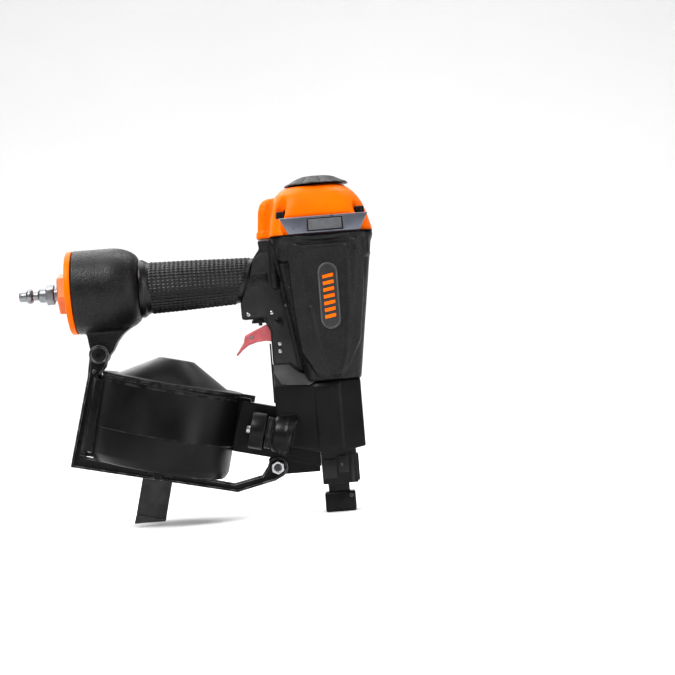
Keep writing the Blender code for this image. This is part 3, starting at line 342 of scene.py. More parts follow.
def flow(points, steps=6, closed=False):
    """A smooth curve through points of any dimension."""
    count = len(points)
    line = []
    for i in range(count if closed else count - 1):
        around = [points[(i + k) % count] if closed else points[min(max(i + k, 0), count - 1)]
            for k in (-1, 0, 1, 2)]
        p0, p1, p2, p3 = (np.array(p, float) for p in around)
        for step in range(steps):
            t = step / steps
            line.append(tuple(0.5 * (2.0 * p1 + (p2 - p0) * t + (2.0 * p0 - 5.0 * p1 + 4.0 * p2 - p3) * t
                * t + (3.0 * p1 - p0 - 3.0 * p2 + p3) * t ** 3)))
    if not closed:
        line.append(tuple(points[-1]))
    return line


def prism(outline, y0, y1):
    """An outline of (x, z) made solid between two y."""
    return loft(bmesh.new(), [[(x, y, z) for x, z in outline] for y in (y0, y1)])


def lathe(bm, profile, sides, place=None):
    """A closed profile of (radius, height) turned about Z, then placed."""
    rows = []
    for radius, height in profile:
        if radius < 1e-6:
            rows.append([bm.verts.new((0.0, 0.0, height))])
            continue
        rows.append([bm.verts.new((radius * math.cos(math.tau * i / sides), radius
            * math.sin(math.tau * i / sides), height)) for i in range(sides)])
    pairs = list(zip(rows, rows[1:]))
    if len(rows[0]) > 1 and len(rows[-1]) > 1:
        pairs.append((rows[-1], rows[0]))
    for low, high in pairs:
        for i in range(sides):
            j = (i + 1) % sides
            if len(low) == 1 and len(high) == 1:
                break
            if len(low) == 1:
                bm.faces.new((low[0], high[j], high[i]))
            elif len(high) == 1:
                bm.faces.new((low[i], low[j], high[0]))
            else:
                bm.faces.new((low[i], low[j], high[j], high[i]))
    if place is not None:
        made = [vert for row in rows for vert in row]
        bmesh.ops.transform(bm, matrix=place, verts=made)
    return bm


def turned(profile, sides, place=None):
    """A turned shape on its own."""
    return lathe(bmesh.new(), profile, sides, place)


def rod(radius, low, high, sides, place=None):
    """A round bar about Z, then placed."""
    return turned([(0.0, low), (radius, low), (radius, high), (0.0, high)], sides, place)


def along(axis, x=0.0, y=0.0, z=0.0, spin=0.0):
    """A placement that turns Z onto an axis letter, with -Y as the near side."""
    turns = {"X": Matrix.Rotation(math.pi / 2.0, 4, "Y"), "Y": Matrix.Rotation(math.pi / 2.0, 4, "X"),
        "Z": Matrix.Identity(4)}
    return Matrix.Translation((x, y, z)) @ turns[axis] @ Matrix.Rotation(math.radians(spin), 4, "Z")


def tube(bm, path, radius, sides=10, closed=False):
    """A round bar along a path."""
    points = [Vector(p) for p in path]
    count = len(points)
    rings = []
    for i, point in enumerate(points):
        before = points[(i - 1) % count] if closed or i else point
        after = points[(i + 1) % count] if closed or i < count - 1 else point
        heading = (after - before).normalized()
        side = heading.cross(Vector((0.0, 1.0, 0.0)))
        side = side.normalized() if side.length > 0.05 else Vector((1.0, 0.0, 0.0))
        lift = heading.cross(side).normalized()
        rings.append([point + (side * math.cos(math.tau * k / sides) + lift
            * math.sin(math.tau * k / sides)) * radius for k in range(sides)])
    if closed:
        rings.append(rings[0])
        loft(bm, rings, False)
        bmesh.ops.remove_doubles(bm, verts=bm.verts, dist=0.0001)
        return bm
    return loft(bm, rings)


def block(bm, x, y, z, place=None):
    """A box between pairs of limits."""
    made = bmesh.ops.create_cube(bm, size=1.0)["verts"]
    for vert in made:
        vert.co = [(limits[0] + limits[1]) / 2.0 + co * (limits[1] - limits[0]) for co,
            limits in zip(vert.co, (x, y, z))]
    if place is not None:
        bmesh.ops.transform(bm, matrix=place, verts=made)
    return bm


def box(x, y, z, place=None):
    """A box on its own."""
    return block(bmesh.new(), x, y, z, place)


def from_cad(node, place):
    """A CAD node's mesh, welded, in a frame's millimetres."""
    bm = bmesh.new()
    bm.from_mesh(frame["nodes"][node].data)
    bm.transform(place.inverted())
    bmesh.ops.remove_doubles(bm, verts=bm.verts, dist=0.001)
    return bm


def temporary(bm):
    """A throw-away object for modifiers that work on a bmesh."""
    bmesh.ops.recalc_face_normals(bm, faces=bm.faces)
    mesh = bpy.data.meshes.new("temporary")
    bm.to_mesh(mesh)
    bm.free()
    item = bpy.data.objects.new("temporary", mesh)
    scene.collection.objects.link(item)
    return item


def evaluated(item):
    """The bmesh that an object's modifiers give; the object goes."""
    graph = bpy.context.evaluated_depsgraph_get()
    mesh = bpy.data.meshes.new_from_object(item.evaluated_get(graph))
    bm = bmesh.new()
    bm.from_mesh(mesh)
    bpy.data.objects.remove(item, do_unlink=True)
    bpy.data.meshes.remove(mesh)
    return bm


def boolean(bm, other, operation="DIFFERENCE"):
    """One closed bmesh cut by another, or joined to it."""
    item, tool = temporary(bm), temporary(other)
    step = item.modifiers.new("boolean", "BOOLEAN")
    step.operation = operation
    step.solver = "EXACT"
    step.object = tool
    made = evaluated(item)
    bpy.data.objects.remove(tool, do_unlink=True)
    return made


def skin(bm, voxel, passes):
    """One soft skin round overlapping closed shapes, as on a casting or a moulding."""
    item = temporary(bm)
    remesh = item.modifiers.new("skin", "REMESH")
    remesh.mode = "VOXEL"
    remesh.voxel_size = voxel
    ease = item.modifiers.new("ease", "SMOOTH")
    ease.factor = 0.5
    ease.iterations = passes
    return evaluated(item)


def eased(bm, width, segments=3, angle=30.0):
    """Rounds the sharp edges."""
    item = temporary(bm)
    step = item.modifiers.new("edges", "BEVEL")
    step.limit_method = "ANGLE"
    step.angle_limit = math.radians(angle)
    step.width = width
    step.segments = segments
    step.use_clamp_overlap = True
    return evaluated(item)


def piece(name, bm, place, look, body="nailer", stands_for=(), crease=38.0):
    """Finishes a bmesh as a piece of the object."""
    bmesh.ops.recalc_face_normals(bm, faces=bm.faces)
    bm.transform(place)
    mesh = bpy.data.meshes.new(name)
    bm.to_mesh(mesh)
    bm.free()
    mesh.shade_smooth()
    mesh.set_sharp_from_angle(angle=math.radians(crease))
    mesh.materials.append(LOOKS[look])
    item = bpy.data.objects.new(name, mesh)
    scene.collection.objects.link(item)
    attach(item, body)
    if stands_for:
        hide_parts(*stands_for)
    return item


def paint_cad():
    """Every CAD node takes its slot's material, or the darker one listed for it in DARKER."""
    for name, node in frame["nodes"].items():
        node.data.materials.clear()
        node.data.materials.append(LOOKS[DARKER.get(name, SLOTS[name])])


# ---------------------------------------------------------------- housing
def shield_y(z):
    """How far the shield's near face stands from the middle plane."""
    low_z, low_y = SHIELD_FOOT
    high_z, high_y = SHIELD_HEAD
    return low_y + (z - low_z) * (high_y - low_y) / (high_z - low_z)


def shield(side):
    """The raised shield: pillowed across, straight-sided above and tapering to a blunt foot."""
    left = ((108.6, 109.4, 119.0, 133.0, 165.0, 200.0, 219.0),
        (-6.0, -8.6, -14.0, -21.8, -25.0, -27.0, -26.0))
    right = ((108.6, 109.2, 121.0, 138.5, 175.0, 206.0, 219.0), (6.0, 9.0, 17.0, 26.4, 31.6, 34.4, 31.0))
    rings = []
    for z in np.linspace(108.6, 221.0, 60):
        x0, x1 = np.interp(z, *left), np.interp(z, *right)
        ring = []
        for t in np.linspace(-1.0, 1.0, 25):
            sag = 5.0 * max(z - 206.0, 0.0) / 15.0 * (1.0 - t * t)
            round_off = float(np.interp(z, (115.0, 160.0), (1.0, 3.4)))
            y = shield_y(z) + 0.6 - round_off * abs(t) ** 2.6 - 2.2 * max(113.0 - z, 0.0) / 4.4
            ring.append(((x0 + x1) / 2.0 + (x1 - x0) / 2.0 * t, side * y, z - sag))
        rings.append(ring + [(x1, side * 4.0, z), (x0, side * 4.0, z)])
    return rings


def housing():
    """The casting: barrel, web, bell and lug under one skin, with shields, ridges and bosses."""
    bm = from_cad("main_housing", TOOL)
    box_loft(bm, [(108.0, -20.1, 25.1, 25.6, 11.0), (226.0, -39.1, 42.1, 38.1, 13.5)])
    bm = skin(bm, 0.9, 1)
    bm = boolean(bm, box((-76.0, -27.4), (-7.9, 7.9), (116.0, 162.7)))
    for side in (-1.0, 1.0):
        for x0, x1, low_z in ((-46.0, -24.0, 184.0), (29.0, 48.0, 188.0)):
            pocket = box((x0, x1), sorted((side * 29.5, side * 50.0)), (low_z, 219.0))
            bm = boolean(bm, eased(pocket, 3.0, 4))
    box_loft(bm, [(219.0, -38.2, 41.2, 37.2, 13.0), (222.0, -39.6, 42.6, 38.2, 13.0),
        (226.0, -40.4, 43.0, 38.5, 13.0)])
    ridge = flow([(20.6, 216.0), (19.8, 185.0), (18.2, 155.0), (15.2, 132.0), (10.6, 117.5), (5.0, 112.6),
        (-0.4, 117.5), (-5.6, 130.0), (-9.4, 150.0), (-11.6, 168.0)], 6)
    brow = flow([(-17.0, 225.2), (-8.0, 223.4), (2.0, 222.8), (12.0, 223.2), (22.0, 224.8)], 5)
    for side in (-1.0, 1.0):
        loft(bm, shield(side))
        tube(bm, [(x, side * (shield_y(z) + 0.1), z) for x, z in ridge], 1.6)
        tube(bm, [(x, side * 38.6, z) for x, z in brow], 1.3)
        lathe(bm, [(0.0, 184.0), (2.6, 184.8), (3.9, 187.6), (3.9, 225.0), (0.0, 225.0)], 24,
            along("Z", -39.5, side * 10.6))
    for x, y in CAP_BOLTS:
        lathe(bm, [(0.0, 205.0), (3.8, 205.6), (6.0, 208.6), (6.0, 226.0), (0.0, 226.0)], 28,
            along("Z", x, y))
    shoulder = [(24.0 + 10.6 * (1.0 - (i / 12.0) ** 2) ** 0.62, -151.0 - 23.0 * (1.0 - i / 12.0))
        for i in range(12, -1, -1)]
    lathe(bm, [(0.0, -151.0)] + shoulder + [(34.6, -203.4), (33.9, -204.2), (0.0, -204.2)], 120,
        along("X", 0.0, 0.0, BELL_Z))
    bm = skin(bm, 0.9, 5)
    piece("housing_casting", bm, TOOL, "cast_black", stands_for=("main_housing",), crease=180.0)


def ear_plates():
    """The flat machined cheeks over the web and the ears."""
    web = [(-36.0, 216.0), (-49.6, 216.0), (-55.2, 211.6), (-68.2, 174.8), (-67.8, 163.6), (-49.0, 163.6),
        (-44.9, 152.6), (-44.9, 124.6), (-31.6, 124.6), (-26.0, 119.0), (-30.0, 150.0), (-36.0, 184.0)]
    for side, label in SIDES:
        bm = prism(web, side * 11.2, side * 12.35)
        piece("cheek_" + label, eased(bm, 0.45, 3), TOOL, "plain_black")


# ---------------------------------------------------------------- handle
def grip():
    """The ribbed sleeve: rows of short raised dashes along the handle, plain at both ends."""
    rear, slope, pitch = -150.6, math.tan(math.radians(19.7)), 3.7
    rows, samples, columns = 46, 6, 190
    around = rows * samples
    body = flow([(24.4, 0.0), (24.5, 0.02), (23.6, 0.045), (21.9, 0.075), (21.1, 0.13), (20.5, 0.4),
        (19.5, 0.7), (18.6, 1.0)], 12)
    radius_at = np.array([r for r, t in body])
    share_at = np.array([t for r, t in body])
    rings = []
    for c in range(columns + 1):
        share = c / columns
        base = float(np.interp(share, share_at, radius_at))
        ring = []
        for k in range(around):
            turn = math.tau * k / around
            height = base * math.cos(turn)
            front = -62.95 + slope * (GRIP_Z + height - 193.9)
            x = rear + (front - rear) * share
            row = k / samples
            fade = min(max((x - rear - 8.0) / 1.5, 0.0), 1.0) * min(max((front - x - 3.0) / 1.0, 0.0), 1.0)
            dash = 0.42 + 0.58 * min(max(math.cos(math.tau * x / pitch) + 0.6, 0.0) * 1.2, 1.0)
            lobe = max(math.cos(math.tau * row) + 0.2, 0.0) * dash
            r = base - 0.5 + 0.75 * fade * min(lobe * 1.2, 1.0)
            ring.append((x, r * GRIP_SQUEEZE * math.sin(turn), GRIP_Z + r * math.cos(turn)))
        rings.append(ring)

    def rim(ring, radius, shift):
        """A ring brought to a radius and moved along the handle."""
        moved = []
        for x, y, z in ring:
            reach = math.hypot(y / GRIP_SQUEEZE, z - GRIP_Z)
            moved.append((x + shift, y / reach * radius, GRIP_Z + (z - GRIP_Z) / reach * radius))
        return moved

    rings.insert(0, rim(rings[0], 23.4, -0.1))
    rings.insert(0, rim(rings[0], 15.9, -0.1))
    rings.append(rim(rings[-1], 17.6, 0.35))
    rings.append(rim(rings[-1], 15.9, 0.1))
    bm = loft(bmesh.new(), rings, False)
    bridge = [edge for edge in bm.edges if edge.is_boundary]
    bmesh.ops.bridge_loops(bm, edges=bridge)
    piece("grip_rubber", bm, TOOL, "rubber_black", stands_for=("grip_sleeve",), crease=60.0)


def end_disc():
    """The round plate that closes the bell."""
    rear = -204.5
    bm = turned([(9.5, rear), (33.8, rear), (34.3, rear - 0.3), (34.5, rear - 0.9), (34.5, rear - 3.8),
        (34.2, rear - 4.5), (33.4, rear - 4.9), (22.6, rear - 4.9), (22.0, rear - 4.5), (9.5, rear - 4.5)],
        128, along("X", 0.0, 0.0, BELL_Z))
    piece("end_disc", bm, TOOL, "orange", stands_for=("end_cap",))


def quick_plug():
    """The hose plug with its locking groove and hex."""
    axis = along("X", 0.0, 0.0, BELL_Z)
    bm = turned([(2.2, -205.0), (6.4, -205.0), (6.4, -219.5), (5.7, -219.5), (5.9, -227.0), (5.9, -233.2),
        (5.5, -234.0), (3.7, -235.6), (3.6, -237.4), (3.8, -239.4), (5.3, -240.3), (5.95, -241.2),
        (5.95, -243.2), (5.5, -244.1), (4.3, -245.2), (4.1, -250.0), (3.4, -251.0), (2.2, -251.0)], 64,
        axis)
    nut = turned([(0.0, -228.6), (7.6, -228.6), (8.4, -228.0), (8.4, -222.4), (7.6, -221.8), (0.0, -221.8)],
        6, axis)
    nut = boolean(eased(nut, 0.25, 2), rod(5.4, -230.0, -210.0, 48, axis))
    piece("air_plug_hex", nut, TOOL, "chrome")
    piece("air_plug_body", bm, TOOL, "chrome", stands_for=("air_plug",))


# ---------------------------------------------------------------- cylinder cap
def cap():
    """The stepped cap with its rear hump, screw recesses and plate seats."""
    bm = bmesh.new()
    box_loft(bm, [(227.0, -40.9, 42.9, 38.4, 14.0), (231.0, -40.6, 42.3, 38.0, 15.0),
        (241.0, -39.6, 39.8, 36.4, 18.0), (250.0, -38.2, 36.8, 34.4, 20.0),
        (256.0, -36.6, 33.6, 32.2, 21.0), (260.5, -34.6, 30.2, 29.8, 21.0),
        (264.0, -31.6, 26.6, 26.6, 21.0), (266.8, -27.0, 22.6, 22.4, 19.0),
        (268.2, -20.0, 18.6, 17.6, 16.0)], 10)
    bm = boolean(bm, box_loft(bmesh.new(), [(227.4, -52.4, -20.0, 15.0, 6.0),
        (232.4, -51.8, -20.0, 14.4, 6.0), (233.4, -50.8, -20.0, 13.8, 6.0),
        (250.0, -49.4, -20.0, 13.0, 6.0), (255.6, -47.6, -20.0, 12.0, 6.0),
        (258.6, -45.0, -20.0, 10.4, 6.0), (260.2, -41.5, -20.0, 8.4, 6.0)], 6), "UNION")
    bm = boolean(bm, box((-27.4, 28.0), (-27.4, 27.4), (220.0, 248.0)))
    for x, y in CAP_BOLTS:
        bm = boolean(bm, rod(4.9, 241.0, 285.0, 40, along("Z", x, y)))
        bm = boolean(bm, rod(2.8, 220.0, 250.0, 24, along("Z", x, y)))
    for side in (-1.0, 1.0):
        seat = [(-33.4, 242.4), (41.6, 242.4), (34.6, 220.0), (-26.4, 220.0)]
        bm = boolean(bm, prism(seat, side * (PLATE_SEAT - 0.2), side * 60.0))
    bm = boolean(bm, rod(3.6, 240.0, 280.0, 24))
    piece("cap_casting", skin(bm, 0.75, 4), TOOL, "orange", stands_for=("cylinder_cap",), crease=180.0)


def socket_screw(name, node, place, radius, height, socket):
    """A cap-head screw: local Z runs out of the head, zero at the head's seat."""
    head = [(0.0, 0.0), (radius, 0.0), (radius, height - 0.6), (radius - 0.18, height - 0.18),
        (radius - 0.6, height), (0.0, height)]
    bm = boolean(turned(head, 56), rod(socket, height * 0.4, height + 3.0, 6))
    bm.transform(place)
    piece(name, bm, TOOL, "black_steel", stands_for=(node,))


def cap_screws():
    """The four screws that hold the cap."""
    for number, (x, y) in enumerate(CAP_BOLTS, start=1):
        seat = along("Z", x, y, CAP_BOLT_SEAT)
        socket_screw("cap_screw_%d" % number, "cap_bolt_%d" % number, seat, 3.9, 5.2, 2.1)


def side_plates():
    """Bowed wear plates, each with a rubber pad let into it and a black sheet in the gap round the pad as painted
    shade.
    """
    columns = 28
    for side, label in SIDES:
        outer = []
        for c in range(columns + 1):
            t = c / columns
            top_x = -31.7 + 71.6 * t
            low_x = -25.0 + 58.3 * t
            sag = 1.7 * (2.0 * t - 1.0) ** 2
            face = PLATE_SEAT + 4.9 - sag
            profile = [(top_x, PLATE_SEAT + 0.4, 240.8), (top_x, face - 0.5, 240.8), (top_x, face, 240.3),
                (low_x + (top_x - low_x) * 0.55, face + 0.1, 235.2), (low_x, face - 0.2, 228.0),
                (low_x, face - 0.8, 227.3), (low_x, PLATE_SEAT + 0.4, 227.3)]
            outer.append([(x, side * y, z) for x, y, z in profile])
        bm = loft(bmesh.new(), outer)
        bm = boolean(bm, box((-9.4, 19.4), sorted((side * (PLATE_SEAT + 3.6), side * 60.0)),
            (228.7, 239.1)))
        piece("bowed_plate_" + label, eased(bm, 0.35, 3), TOOL, "plate_blue",
            stands_for=("side_plate_" + label,))
        pad = box((-8.5, 18.5), sorted((side * (PLATE_SEAT + 3.9), side * (PLATE_SEAT + 5.4))),
            (229.5, 238.3))
        piece("rubber_pad_" + label, eased(pad, 0.4, 3), TOOL, "pad_grey",
            stands_for=("side_pad_" + label,))
        # A thin black sheet on the recess floor that darkens the gap round the pad: painted shade.
        gap_shade = box((-9.35, 19.35), sorted((side * (PLATE_SEAT + 3.65), side * (PLATE_SEAT + 3.8))),
            (228.75, 239.05))
        piece("pad_gap_shade_" + label, gap_shade, TOOL, "rubber_black")


def deflector():
    """A low dome of petals that turns on the cap."""
    petals, sides = 9, 180
    levels = [(3.8, 274.0), (6.6, 274.2), (7.2, 276.0), (12.6, 275.7), (15.4, 274.9), (19.0, 273.2),
        (22.6, 271.3), (25.6, 270.2), (26.4, 269.4), (26.4, 268.7), (3.8, 268.7)]
    rings = []
    for radius, height in levels:
        ring = []
        for i in range(sides):
            turn = math.tau * i / sides
            wave = abs(math.sin(petals * turn / 2.0)) ** 0.6
            reach = min(max((radius - 12.0) / 10.0, 0.0), 1.0)
            r = radius - 0.9 * reach * (1.0 - wave) * (height > 269.0)
            z = height - 1.7 * reach * (1.0 - wave) * (height > 269.5)
            ring.append((r * math.cos(turn), r * math.sin(turn), max(z, 268.65)))
        rings.append(ring)
    bm = loft(bmesh.new(), rings + [rings[0]], False)
    bmesh.ops.remove_doubles(bm, verts=bm.verts, dist=0.0005)
    piece("deflector_dome", bm, TOOL, "dark_grey", "deflector", ("exhaust_deflector",), crease=30.0)
    socket_screw("deflector_bolt", "deflector_screw", along("Z", 0.0, 0.0, 272.2), 5.6, 3.2, 2.6)


# ---------------------------------------------------------------- badge
def pill(width, height, steps=12):
    """An outline with round ends, about the badge's middle."""
    radius = width / 2.0
    reach = height / 2.0 - radius
    outline = []
    for end, start in ((1.0, 0.0), (-1.0, 180.0)):
        for i in range(steps + 1):
            turn = math.radians(start + 180.0 * i / steps)
            outline.append((BADGE[0] + radius * math.cos(turn), BADGE[1] + end * reach + radius
                * math.sin(turn)))
    return outline


def badge():
    """A plain oval badge: a glossy field, a thin rim and a column of slanted bars."""
    def lie(points, proud):
        return [(x, -(shield_y(z) + 0.75 + proud), z) for x, z in points]
    field = pill(13.4, 51.0)
    bm = loft(bmesh.new(), [lie(field, 0.35), lie(field, -1.2)])
    piece("badge_field", bm, TOOL, "badge_black", stands_for=("badge",))
    bm = tube(bmesh.new(), lie(pill(14.6, 52.2), 0.1), 0.75, 10, True)
    piece("badge_rim", bm, TOOL, "rim_grey", crease=80.0)
    bm = bmesh.new()
    bars, pitch = 7, 5.4
    for i in range(bars):
        z = BADGE[1] + (i - (bars - 1) / 2.0) * pitch
        outline = [(-0.4, z - 2.3), (8.4, z - 0.9), (8.4, z + 1.9), (-0.4, z + 0.5)]
        loft(bm, [lie(outline, 0.62), lie(outline, 0.0)])
    piece("badge_bars", eased(bm, 0.2, 2), TOOL, "orange")


# ---------------------------------------------------------------- trigger
def trigger():
    """The trigger under one soft skin."""
    piece("trigger_casting", skin(from_cad("trigger", TOOL), 0.38, 4), TOOL, "trigger_red", "trigger",
        ("trigger",), crease=180.0)


def pin_heads():
    """Domed ends on the cross pins and a hex pivot in the ear."""
    for node in ("web_pin_1", "web_pin_2", "ear_pin_1", "ear_pin_2"):
        low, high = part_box(node)
        middle = (low + high) / 2.0
        x, z = (middle.x - TOOL.translation.x) / MM, middle.z / MM
        bm = bmesh.new()
        for side in (-1.0, 1.0):
            lathe(bm, [(0.0, 13.3), (0.9, 13.2), (1.5, 12.9), (1.5, 11.6), (0.0, 11.6)], 28,
                along("Y", x, 0.0, z) @ Matrix.Scale(side, 4, (0.0, 0.0, 1.0)))
        piece(node + "_ends", bm, TOOL, "steel")
    bm = bmesh.new()
    pivot = along("Y", TRIGGER_PIVOT[0], 0.0, TRIGGER_PIVOT[1])
    for side in (-1.0, 1.0):
        lathe(bm, [(0.0, 14.2), (2.4, 14.2), (3.2, 13.8), (3.2, 12.3), (0.0, 12.3)], 40, pivot
            @ Matrix.Scale(side, 4, (0.0, 0.0, 1.0)))
    bm = boolean(bm, rod(1.5, -20.0, 20.0, 6, pivot))
    piece("trigger_pivot_heads", bm, TOOL, "black_steel")


# ---------------------------------------------------------------- nose
def nose_shroud():
    """The moulded cover: a sloping shoulder at the top and a rounded pillar down each side."""
    bm = from_cad("nose_cover", TOOL)
    filler = [(-46.4, 100.0), (-46.4, 122.7), (-31.2, 122.7), (-21.6, 112.7), (-21.2, 107.5), (-8.0, 107.5),
        (-8.0, 100.0)]
    for side in (-1.0, 1.0):
        bm = boolean(bm, prism(filler, side * 12.6, side * 21.9), "UNION")
    for side in (-1.0, 1.0):
        top, low = (side * 11.5, 124.4), (side * 22.4, 104.6)
        wedge = [[(x, top[0], top[1] + lift), (x, low[0], low[1] + lift * 0.2), (x, side * 40.0, low[1]),
            (x, side * 40.0, 150.0), (x, top[0], 150.0)] for x, lift in ((-60.0, 2.2), (-9.0, -5.0))]
        bm = boolean(bm, loft(bmesh.new(), wedge))
        bm = boolean(bm, rounded_pillar(side), "UNION")
    bm = boolean(bm, box((10.0, 24.0), (-21.9, -20.7), (88.0, 105.0)), "UNION")
    facet = [(-45.6, 123.6), (-33.5, 123.2), (-26.4, 116.9), (-10.9, 108.9), (-17.3, 105.4), (-40.1, 107.2),
        (-43.5, 112.2), (-45.8, 117.0)]
    # The shoulder facets take the lighter black: painted light where the shoulder faces the sky.
    for side, label in SIDES:
        slab = [[(x, side * (11.7 + (124.0 - z) * 0.563 + lift), z) for x, z in facet]
            for lift in (0.45, -1.4)]
        piece("shoulder_facet_" + label, eased(loft(bmesh.new(), slab), 0.3, 2), TOOL, "shoulder_lit_black")
    joint = [(-46.2, 123.9), (-30.8, 123.9), (-20.6, 113.3), (-13.0, 108.6), (24.0, 108.4), (24.0, 107.2),
        (-22.6, 107.2), (-31.4, 118.0), (-46.2, 118.0)]
    piece("nose_gasket", prism(joint, -11.4, 11.4), TOOL, "rubber_black")
    piece("nose_shroud", skin(bm, 0.62, 3), TOOL, "mag_black", stands_for=("nose_cover",), crease=180.0)


def rounded_pillar(side):
    """A shallow half-round column between the cover's two ribs."""
    rings = []
    for z, reach in ((51.5, 22.6), (54.0, 24.0), (102.5, 24.0), (106.0, 22.8), (107.4, 21.6)):
        arc = []
        for i in range(13):
            t = i / 12.0
            arc.append((-13.6 + 20.6 * t, side * (20.4 + (reach - 20.4) * math.sin(math.pi * t) ** 0.35),
                z))
        arc += [(7.0, side * 20.0, z), (-13.6, side * 20.0, z)]
        rings.append(arc)
    return loft(bmesh.new(), rings)


def contact_arm():
    """The bar that carries the tip, up to the trigger."""
    bm = from_cad("contact_arm", TOOL)
    for vert in bm.verts:
        vert.co.x = max(vert.co.x, -48.3)
    block(bm, (-47.8, -46.75), (-4.0, 4.0), (94.2, 124.0))
    piece("arm_bar", skin(bm, 0.4, 2), TOOL, "black_steel", "contact_slide", ("contact_arm",),
        180.0)


def depth_wheel():
    """A knurled wheel with a groove round its middle."""
    low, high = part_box("depth_wheel")
    x = ((low.x + high.x) / 2.0 - TOOL.translation.x) / MM
    y = (low.y + high.y) / 2.0 / MM
    teeth, sides = 20, 120
    rings = []
    for radius, z in ((2.2, 91.0), (4.5, 91.0), (5.2, 91.6), (5.2, 95.6), (4.7, 95.9), (4.7, 96.3),
            (5.2, 96.6), (5.2, 100.4), (4.5, 101.0), (2.2, 101.0)):
        ring = []
        for i in range(sides):
            turn = math.tau * i / sides
            r = radius - (0.35 * (0.5 + 0.5 * math.cos(teeth * turn)) if radius > 5.0 else 0.0)
            ring.append((x + r * math.cos(turn), y + r * math.sin(turn), z))
        rings.append(ring)
    bm = loft(bmesh.new(), rings + [rings[0]], False)
    bmesh.ops.remove_doubles(bm, verts=bm.verts, dist=0.0005)
    piece("knurled_wheel", bm, TOOL, "black_steel", "depth_wheel", ("depth_wheel",), crease=30.0)


def nose_details():
    """The nose block with its latch plates and rivet."""
    bm = eased(from_cad("nose_body", TOOL), 0.3, 2, 50.0)
    piece("nose_block", bm, TOOL, "black_steel", stands_for=("nose_body",))
    bm = box((-12.6, -1.0), (-10.2, -9.05), (27.0, 43.0))
    block(bm, (0.6, 8.6), (-10.8, -9.05), (31.5, 45.5))
    block(bm, (10.6, 13.4), (-10.0, -9.05), (24.0, 46.5))
    piece("nose_latch", eased(bm, 0.5, 3), TOOL, "plain_black")
    bm = turned([(0.0, 0.0), (1.3, 0.0), (1.3, 1.8), (0.9, 2.2), (0.0, 2.3)], 28,
        along("Y", 3.4, -9.2, 38.0))
    piece("nose_rivets", bm, TOOL, "guide_steel")


def contact_tip():
    """The tip's block and its screw."""
    bm = eased(from_cad("contact_tip", TOOL), 0.25, 2, 50.0)
    piece("tip_block", bm, TOOL, "black_steel", "contact_slide", ("contact_tip",))
    bm = turned([(0.0, 0.0), (1.7, 0.0), (1.7, 0.7), (1.2, 1.1), (0.0, 1.1)], 28,
        along("Y", 9.4, -9.1, 12.4))
    piece("tip_screw", bm, TOOL, "guide_steel", "contact_slide")


# ---------------------------------------------------------------- magazine
def cup():
    """The canister's wall and floor, later cut into door and base."""
    wall = MAG_R - MAG_WALL
    return turned([(0.0, 2.6), (50.5, 2.6), (wall, 10.0), (wall, MAG_HEIGHT), (MAG_R - 0.5, MAG_HEIGHT),
        (MAG_R, MAG_HEIGHT - 0.5), (MAG_R, 66.4), (MAG_R - 0.55, 66.1), (MAG_R - 0.55, 65.5),
        (MAG_R - 0.05, 65.1), (MAG_R - 0.05, 29.4), (MAG_R + 0.15, 28.9), (MAG_R + 0.15, 28.0),
        (MAG_R - 0.7, 27.3), (MAG_R - 0.75, 6.8), (MAG_R - 1.2, 5.2), (55.2, 0.9), (53.6, 0.0), (0.0, 0.0)],
        200)


def canister():
    """The canister in two halves with the hinge's eyes, leaf and barrel, and the saddle it stands on."""
    turn = Matrix.Rotation(math.radians(DOOR_CUT_ANGLE), 4, "Z")
    middle = Matrix.Translation((0.0, -62.0, 30.0))
    near = middle @ turn @ middle.inverted()
    hinge = along("Z", DOOR_HINGE.x, DOOR_HINGE.y)
    base = boolean(cup(), box((-95.0, 95.0), (-112.0, DOOR_CUT_Y), (-30.0, 90.0), near))
    base = boolean(base, box((40.0, 75.0), (-6.4, 6.4), (25.0, 66.0)))
    for z0, z1, inner in ((65.4, 68.4, -56.2), (1.0, 4.2, -49.0)):
        base = boolean(base, box((-61.2, inner), (-15.0, -12.0), (z0, z1)), "UNION")
        eye = [(1.4, z0), (2.9, z0), (3.2, z0 + 0.3), (3.2, z1 - 0.3), (2.9, z1), (1.4, z1)]
        base = boolean(base, turned(eye, 40, hinge), "UNION")
    saddle = eased(box((-36.0, 40.0), (-5.2, 6.0), (-8.0, 1.0)), 0.8, 3)
    base = boolean(base, saddle, "UNION")
    for x0 in (-35.0, 27.0):
        foot = box((x0, x0 + 12.0), (-7.9, -5.0), (-7.0, 0.6))
        base = boolean(base, foot, "UNION")
    post = [(0.0, 1.0), (5.0, 1.0), (5.0, 63.0), (4.0, 64.0), (0.0, 64.0)]
    base = boolean(base, turned(post, 40), "UNION")
    piece("canister_far", base, MAG, "mag_black", stands_for=("magazine_base",))
    middle = Matrix.Translation((0.0, (DOOR_CUT_Y - 0.5 + 90.0) / 2.0, 30.0))
    far = middle @ turn @ middle.inverted()
    door = boolean(cup(), box((-95.0, 95.0), (DOOR_CUT_Y - 0.5, 90.0), (-30.0, 90.0), far))
    leaf = eased(box((-61.0, -53.6), (-19.2, -16.8), (4.9, 64.7)), 0.5, 3)
    door = boolean(door, leaf, "UNION")
    barrel = turned([(1.4, 4.9), (2.6, 4.9), (2.9, 5.3), (2.9, 64.3), (2.6, 64.7), (1.4, 64.7)], 48, hinge)
    door = boolean(door, barrel, "UNION")
    piece("canister_door", door, MAG, "mag_black", "magazine_door", ("magazine_door",))


def feed_collar():
    """The block that closes the gap between canister and channel."""
    bm = box((57.4, 66.0), (-7.4, 7.4), (24.6, 68.7))
    piece("feed_collar", eased(bm, 0.6, 3), MAG, "mag_black")


